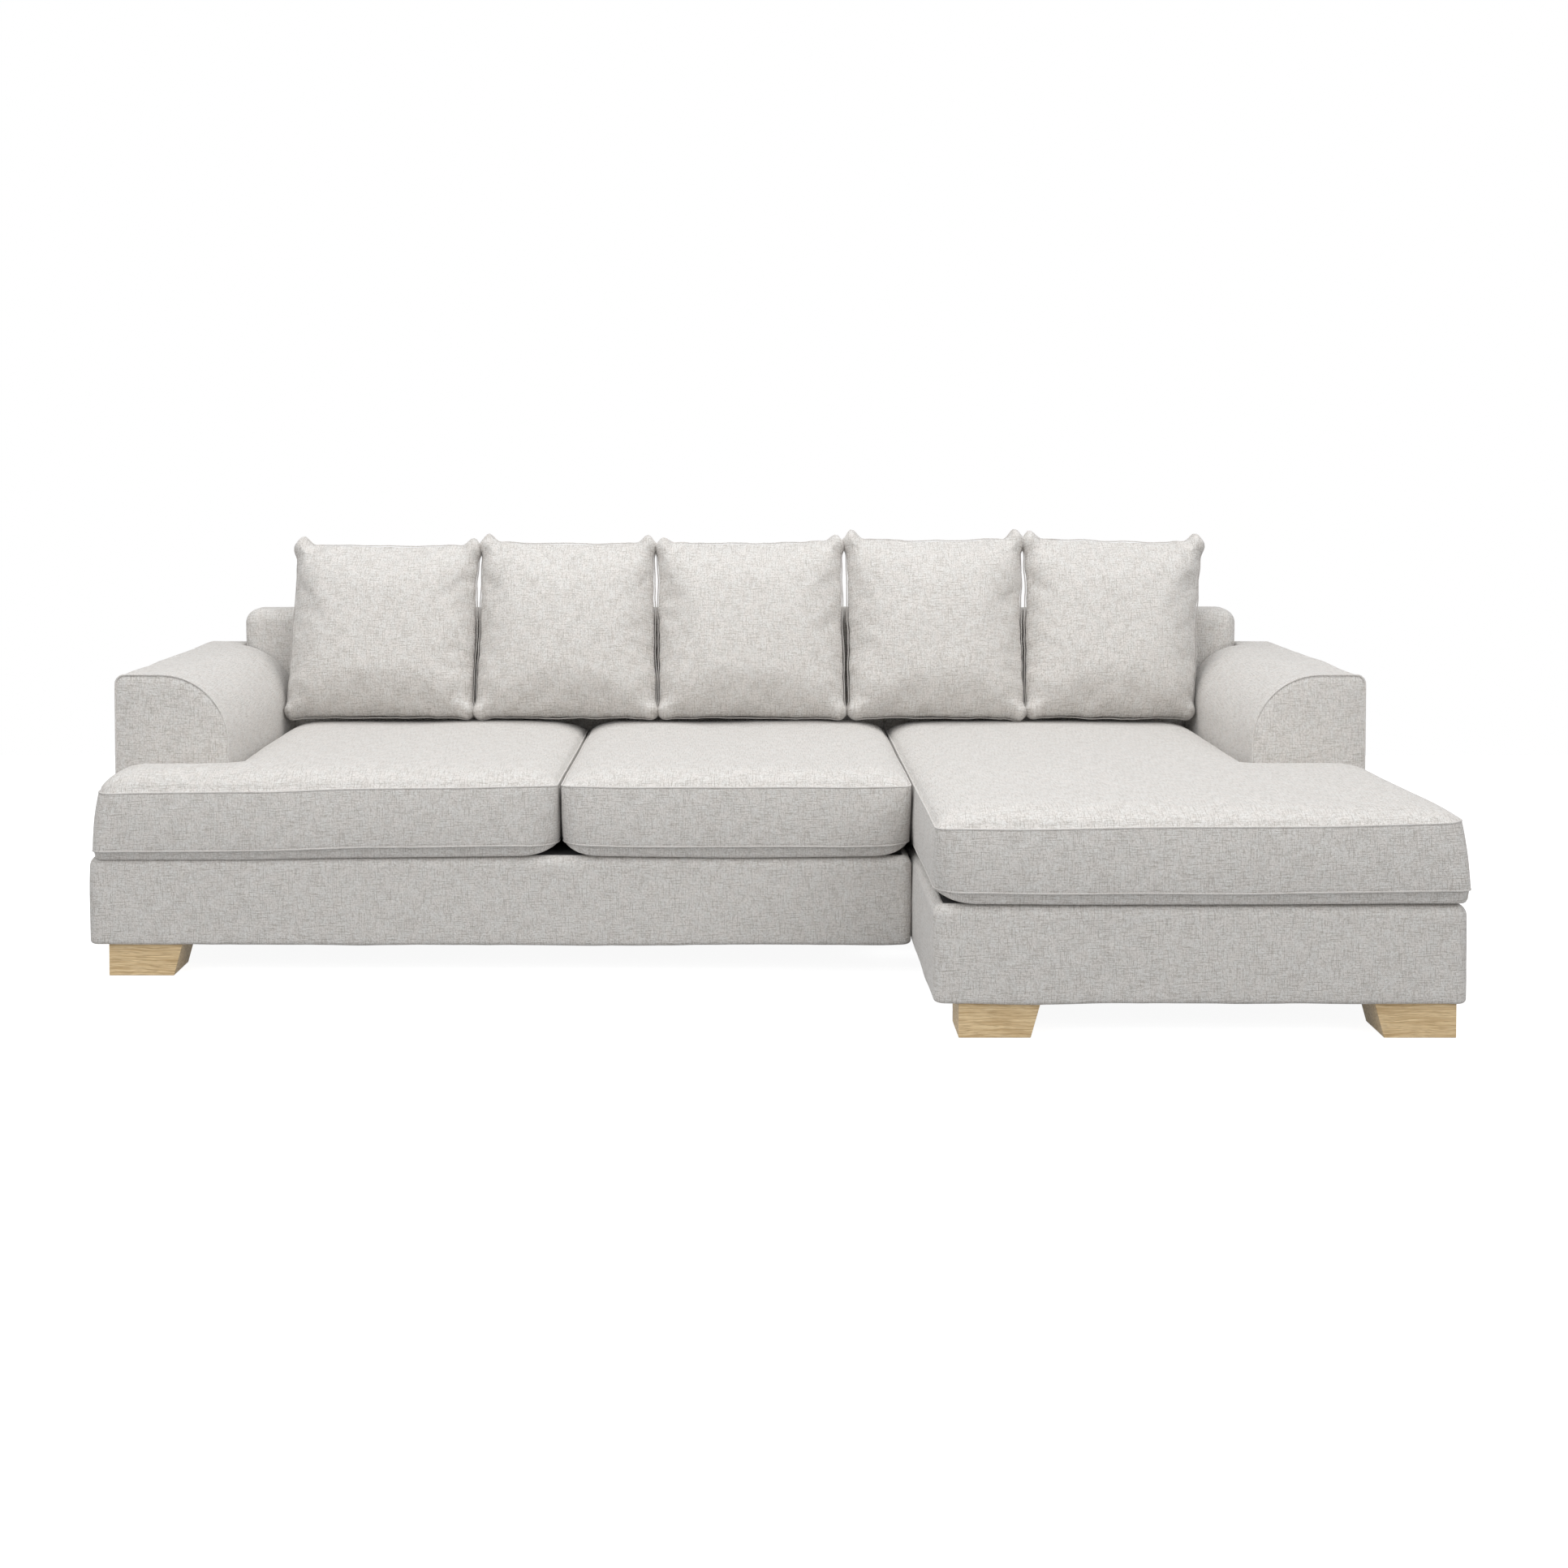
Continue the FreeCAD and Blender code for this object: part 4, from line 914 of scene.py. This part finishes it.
def arm(side):
    """One arm: its skin, its front panel and the piping round it."""
    name = "left" if side > 0 else "right"
    seed = 40 if side > 0 else 60
    split = -back_end - back_gap
    outline, first, last, cut = arm_outline(split)
    length = run_lengths(np.array(outline))
    levels = first + 1
    panel_y, notch_y = arm_front + seam_radius, back_front - back_gap
    ys = spaced(panel_y, notch_y, cloth_grid, edge_steps)
    tail_ys = spaced(notch_y, arm_rear, cloth_grid, (0.0, 0.001, 0.003, 0.006, 0.010, 0.015, 0.021, 0.028))
    rear_round = 0.028
    skin = Patchwork()

    def place(x, y, z):
        return (side * x, y, z)

    def drawn_in(y):
        """The outline where the rear edges are rounded, shrunk towards the arm's middle."""
        near = max(0.0, rear_round - (arm_rear - y))
        inset = rear_round - math.sqrt(max(0.0, rear_round ** 2 - near ** 2))
        moved = []
        for i, (x, z) in enumerate(outline):
            before, after = outline[max(i - 1, 0)], outline[min(i + 1, len(outline) - 1)]
            run = math.hypot(after[0] - before[0], after[1] - before[1])
            nx, nz = (0.0, 1.0) if i >= cut else (-(after[1] - before[1]) / run, (after[0] - before[0]) / run)
            moved.append((x - nx * inset, z - nz * inset))
        return moved

    def strip(count, lines):
        """Cloth drawn over the first points of the outline between rows of Y."""
        shrunk = {y: drawn_in(y) for y in lines}
        skin.span(lines, range(count), lambda y, i: place(shrunk[y][i][0], y, shrunk[y][i][1]),
                  lambda y, i: (length[i], y))

    def wall(columns, y, puff):
        """A flat panel between the base and the outline, fuller in its middle by puff."""
        points, cloth = [], []
        for t in np.linspace(0.0, 1.0, levels):
            line, marks = [], []
            for x, z in columns:
                height = base_top + (z - base_top) * t
                edge = min(abs(x + arm_outer), abs(x + arm_inner), z - height, height - base_top)
                line.append(place(x, y - puff * quarter(edge, 0.05), height))
                marks.append((side * x, height))
            points.append(line)
            cloth.append(marks)
        skin.add(np.array(points), np.array(cloth))

    strip(len(outline), ys)
    strip(cut + 1, tail_ys)
    wall(outline[first:last + 1], panel_y, 0.004)
    wall(outline[cut:last + 1], notch_y, 0.0)
    wall(drawn_in(arm_rear)[first:cut + 1], arm_rear, 0.0)
    inner_edge = [[place(split, y, base_top + (drawn_in(y)[cut][1] - base_top) * t)
                   for t in np.linspace(0.0, 1.0, levels)] for y in tail_ys]
    skin.add(np.array(inner_edge), np.array([[(z, y) for _, y, z in row] for row in inner_edge]))
    for end, lines in ((last, ys), (cut, tail_ys)):
        skin.add(np.array([[place(x, y, base_top) for x, _ in drawn_in(y)[first:end + 1]] for y in lines]),
                 np.array([[(x, y) for x, _ in outline[first:end + 1]] for y in lines]))
    cover = skin.sewn("arm_%s" % name, "upholstery")
    soften(cover, seed, 0.0030, 0.0006, lambda p: quarter(p.z - base_top, 0.08) * quarter(p.y - panel_y, 0.06))
    nodes = ["arm_%s_%s" % (name, part) for part in ("cover", "foam", "front_panel")]
    handed_over(cover, "sofa", "upholstery", *nodes, fill=0.9)
    line = [place(x, panel_y - seam_radius * 0.35, z) for x, z in outline]
    piping = corded("arm_piping_%s" % name, [(line, False)], seam_radius)
    handed_over(piping, "sofa", "piping", "arm_%s_piping" % name)


arm(1)
arm(-1)


# Backs

def back(name, x0, x1, round_left, round_right, seed):
    """One upholstered back: a section of front, rolled top and rear, drawn in round its ends."""
    radius, joint_radius = 0.036, 0.007
    front, rear, top = back_front, arm_rear, back_top
    xs = spaced(x0, x1, 0.02, (0.0, 0.001, 0.003, 0.006, 0.010, 0.015, 0.021, 0.028, 0.036))

    def section(inset):
        r = max(radius - inset, 0.002)
        f, b, t = front + inset, rear - inset, top - inset
        points = [(f, z) for z in np.linspace(base_top, t - r, 26)[:-1]]
        points += arc(f + r, t - r, r, math.pi, math.pi / 2, 12)
        points += [(y, t) for y in np.linspace(f + r, b - r, 6)[1:-1]]
        points += arc(b - r, t - r, r, math.pi / 2, 0.0, 12)
        points += [(b, z) for z in np.linspace(t - r, base_top, 26)[1:]]
        return points

    def inset_at(x):
        found = 0.0
        for distance, r in ((x - x0, radius if round_left else joint_radius),
                            (x1 - x, radius if round_right else joint_radius)):
            if distance < r:
                found = max(found, r - math.sqrt(max(0.0, r * r - (r - distance) ** 2)))
        return found

    length = run_lengths(np.array(section(0.0)))
    skin = Patchwork()
    lines = [section(inset_at(x)) for x in xs]
    skin.add(np.array([[(x, y, z) for y, z in line] for x, line in zip(xs, lines)]),
             np.array([[(x, s) for s in length] for x in xs]))
    for x, line in ((xs[0], lines[0]), (xs[-1], lines[-1])):
        half = len(line) // 2
        pairs = list(zip(line[:half], reversed(line[half:])))
        skin.span(pairs, (0, 0.25, 0.5, 0.75, 1),
                  lambda p, t: (x, p[0][0] * (1 - t) + p[1][0] * t, p[0][1] * (1 - t) + p[1][1] * t),
                  lambda p, t: (p[0][0] * (1 - t) + p[1][0] * t, p[0][1]))
    skin.add(np.array([[(x, line[0][0], base_top), (x, line[-1][0], base_top)] for x, line in zip(xs, lines)]),
             np.array([[(x, 0.0), (x, 0.1)] for x in xs]))
    cover = skin.sewn("back_%s" % name, "upholstery")
    soften(cover, seed, 0.0030, 0.0007, lambda p: quarter(p.z - base_top, 0.06))
    handed_over(cover, "sofa", "upholstery", "back_%s_cover" % name, fill=0.9)


for name, left, right, seed in (("sofa", True, False, 71), ("chaise", False, True, 83)):
    low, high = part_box("back_%s_cover" % name)
    back(name, low.x, high.x, left, right, seed)


# Bases

def border(name, node, seed):
    """The padded border round one module's base, rolled over at its top and tucked under at its foot."""
    low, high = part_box(node)
    corner, wall, roll, hem = 0.024, 0.020, 0.024, 0.008
    outline = []
    left, right, front, rear = low.x + corner, high.x - corner, low.y + corner, high.y - corner
    for cx, cy, start in ((left, front, math.pi), (right, front, 1.5 * math.pi),
                          (right, rear, 0.0), (left, rear, math.pi / 2)):
        for a in np.linspace(start, start + math.pi / 2, 9):
            outline.append((cx + corner * math.cos(a), cy + corner * math.sin(a), math.cos(a), math.sin(a)))
    full = []
    for here, after in zip(outline, outline[1:] + outline[:1]):
        full.append(here)
        gap = math.hypot(after[0] - here[0], after[1] - here[1])
        if gap > 0.05:
            count = int(gap / 0.02)
            for i in range(1, count):
                t = i / count
                full.append(tuple(here[k] * (1 - t) + after[k] * t for k in range(4)))
    section = [(wall, base_bottom + 0.004), (0.012, base_bottom)]
    section += arc(hem, base_bottom + hem, hem, -math.pi / 2, -math.pi, 6)
    section += [(-0.0012 * math.sin(math.pi * t), base_bottom + hem + (base_top - base_bottom - roll - hem) * t)
                for t in np.linspace(0.0, 1.0, 14)[1:-1]]
    section += arc(roll, base_top - roll, roll, math.pi, math.pi - math.acos(1 - wall / roll), 9)
    section += [(wall, base_bottom + 0.004)]
    length = run_lengths(np.array(section))
    closed = full + full[:1]
    along = run_lengths(np.array([(p[0], p[1]) for p in closed]))
    skin = Patchwork()
    points, cloth = [], []
    for (x, y, nx, ny), s in zip(closed, along):
        points.append([(x - nx * inset, y - ny * inset, z) for inset, z in section])
        cloth.append([(s, v) for v in length])
    skin.add(np.array(points), np.array(cloth))
    cover = skin.sewn(name, "upholstery")
    soften(cover, seed, 0.0024, 0.0006, lambda p: share(base_top - 0.012 - p.z, 0.04))
    for vertex in cover.data.vertices:
        low_down = max(0.0, 1.0 - (vertex.co.z - base_bottom) / 0.06)
        vertex.co.z += low_down * (wobble(vertex.co * Vector((1, 1, 0)), 0.21, 0.0022, seed + 4) - 0.0004)
    handed_over(cover, "sofa", "upholstery", node, fill=0.9)


border("base_sofa", "sofa_border", 91)
border("base_chaise", "chaise_border", 97)


# Deck cloth under the cushions

def deck(name, node, seed):
    """The lining over the springs, padded and slightly hollow between the rails."""
    low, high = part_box(node)
    xs, ys = spaced(low.x, high.x, 0.05, (0.0, 0.004, 0.012)), spaced(low.y, high.y, 0.05, (0.0, 0.004, 0.012))
    skin = Patchwork()

    def top(x, y):
        edge = min(x - low.x, high.x - x, y - low.y, high.y - y)
        return high.z - 0.0006 - 0.003 * quarter(edge, 0.2) + wobble((x, y, 0), 0.1, 0.0005, seed)

    skin.span(xs, ys, lambda x, y: (x, y, top(x, y)), lambda x, y: (x, y))
    skin.span(xs, ys, lambda x, y: (x, y, low.z), lambda x, y: (x, y))
    for x in (xs[0], xs[-1]):
        skin.span(ys, (0, 1), lambda y, up: (x, y, top(x, y) if up else low.z),
                  lambda y, up: (y, high.z if up else low.z))
    for y in (ys[0], ys[-1]):
        skin.span(xs, (0, 1), lambda x, up: (x, y, top(x, y) if up else low.z),
                  lambda x, up: (x, high.z if up else low.z))
    cloth = skin.sewn(name, "deck_lining")
    handed_over(cloth, "sofa", "deck_lining", node, fill=0.5)


deck("deck_lining_sofa", "sofa_deck", 101)
deck("deck_lining_chaise", "chaise_deck", 103)


# Feet

def eased(name, node, slot, width):
    """A copy of a hard piece with its sharp edges eased."""
    mesh = frame["nodes"][node].data.copy()
    edit = bmesh.new()
    edit.from_mesh(mesh)
    bmesh.ops.remove_doubles(edit, verts=edit.verts, dist=0.00002)
    bmesh.ops.dissolve_limit(edit, angle_limit=math.radians(2.0), verts=edit.verts, edges=edit.edges)
    edit.to_mesh(mesh)
    edit.free()
    piece = placed(name, mesh)
    mesh.materials.clear()
    mesh.materials.append(materials[slot])
    ease = piece.modifiers.new("eased", "BEVEL")
    ease.width = width
    ease.segments = 2
    ease.limit_method = "ANGLE"
    ease.angle_limit = math.radians(40.0)
    ease.harden_normals = True
    plain(piece)
    handed_over(piece, "sofa", slot, node)


eased("feet", "oak_feet", "oak", 0.0012)
eased("legs", "support_legs", "black_plastic", 0.0015)

named = {s["node"]: s["material_slot"] for s in frame["record"]["subparts"]}
for node, piece in frame["nodes"].items():
    piece.data.materials.clear()
    piece.data.materials.append(materials[named[node]])


# Floor, light and camera

def floor(shade, glow):
    """A plain grey floor that keeps the shadow and glows enough to show white to the camera."""
    mesh = bpy.data.meshes.new("floor")
    mesh.from_pydata([(-7, -7, 0), (7, -7, 0), (7, 3, 0), (-7, 3, 0)], [], [(0, 1, 2, 3)])
    finish = Finish("floor", Roughness=0.9, Specular_IOR_Level=0.1)
    finish.colour((shade, shade, shade, 1.0))
    rays = finish.node("ShaderNodeLightPath")
    seen = Number(finish, rays.outputs["Is Camera Ray"]) + Number(finish, rays.outputs["Is Glossy Ray"])
    seen = seen + Number(finish, rays.outputs["Is Transmission Ray"])
    shine = finish.node("ShaderNodeEmission", {}, {"Color": (1, 1, 1, 1), "Strength": seen * glow})
    both = finish.node("ShaderNodeAddShader", {}, {0: finish.shader.outputs[0], 1: shine.outputs[0]})
    feed(finish.tree, finish.tree.nodes["Material Output"].inputs[0], both.outputs[0])
    mesh.materials.append(finish.material)
    placed("floor", mesh)


def lamp(name, place, aim, size, power):
    """A soft square light that points at aim."""
    light = bpy.data.lights.new(name, "AREA")
    light.shape = "RECTANGLE"
    light.size, light.size_y = size
    light.energy = power
    holder = placed(name, light)
    holder.location = place
    holder.rotation_euler = (Vector(aim) - Vector(place)).to_track_quat("-Z", "Y").to_euler()


def sky(seen, lit):
    """An even white sky, of strength seen to the camera and in reflections, and lit on the object."""
    world = bpy.data.worlds.new("studio")
    scene.world = world
    world.use_nodes = True
    tree = world.node_tree
    rays = new_node(tree, "ShaderNodeLightPath").outputs
    straight = new_node(tree, "ShaderNodeMath", {}, {0: rays["Is Camera Ray"], 1: rays["Is Transmission Ray"]})
    mirrored = new_node(tree, "ShaderNodeMath", {}, {0: rays["Is Glossy Ray"], 1: straight.outputs[0]})
    tone = new_node(tree, "ShaderNodeMix", {"data_type": "FLOAT"}, {0: mirrored.outputs[0], 2: lit, 3: seen})
    backdrop = tree.nodes["Background"].inputs
    feed(tree, backdrop["Color"], (1, 1, 1, 1))
    feed(tree, backdrop["Strength"], tone.outputs[0])


floor(0.42, 0.93)
sky(1.0, 0.47)
lamp("overhead", (0.0, -0.9, 4.2), (0.0, 0.0, 0.3), (5.0, 3.5), 118.0)
lamp("key", (-2.6, -4.6, 3.6), (0.0, 0.0, 0.4), (3.0, 2.0), 57.0)
lamp("fill", (3.2, -4.8, 3.0), (0.0, 0.0, 0.4), (3.0, 2.0), 48.0)

lens = bpy.data.cameras.new("camera")
lens.lens, lens.sensor_width = 49.31, 36.0
lens.shift_x, lens.shift_y = 0.0270, -0.1695
camera = placed("camera", lens)
camera.location = (0.003, -4.853, 1.147)
camera.rotation_euler = (math.radians(88.0), 0.0, 0.0)
scene.camera = camera
scene.view_settings.view_transform = "Standard"
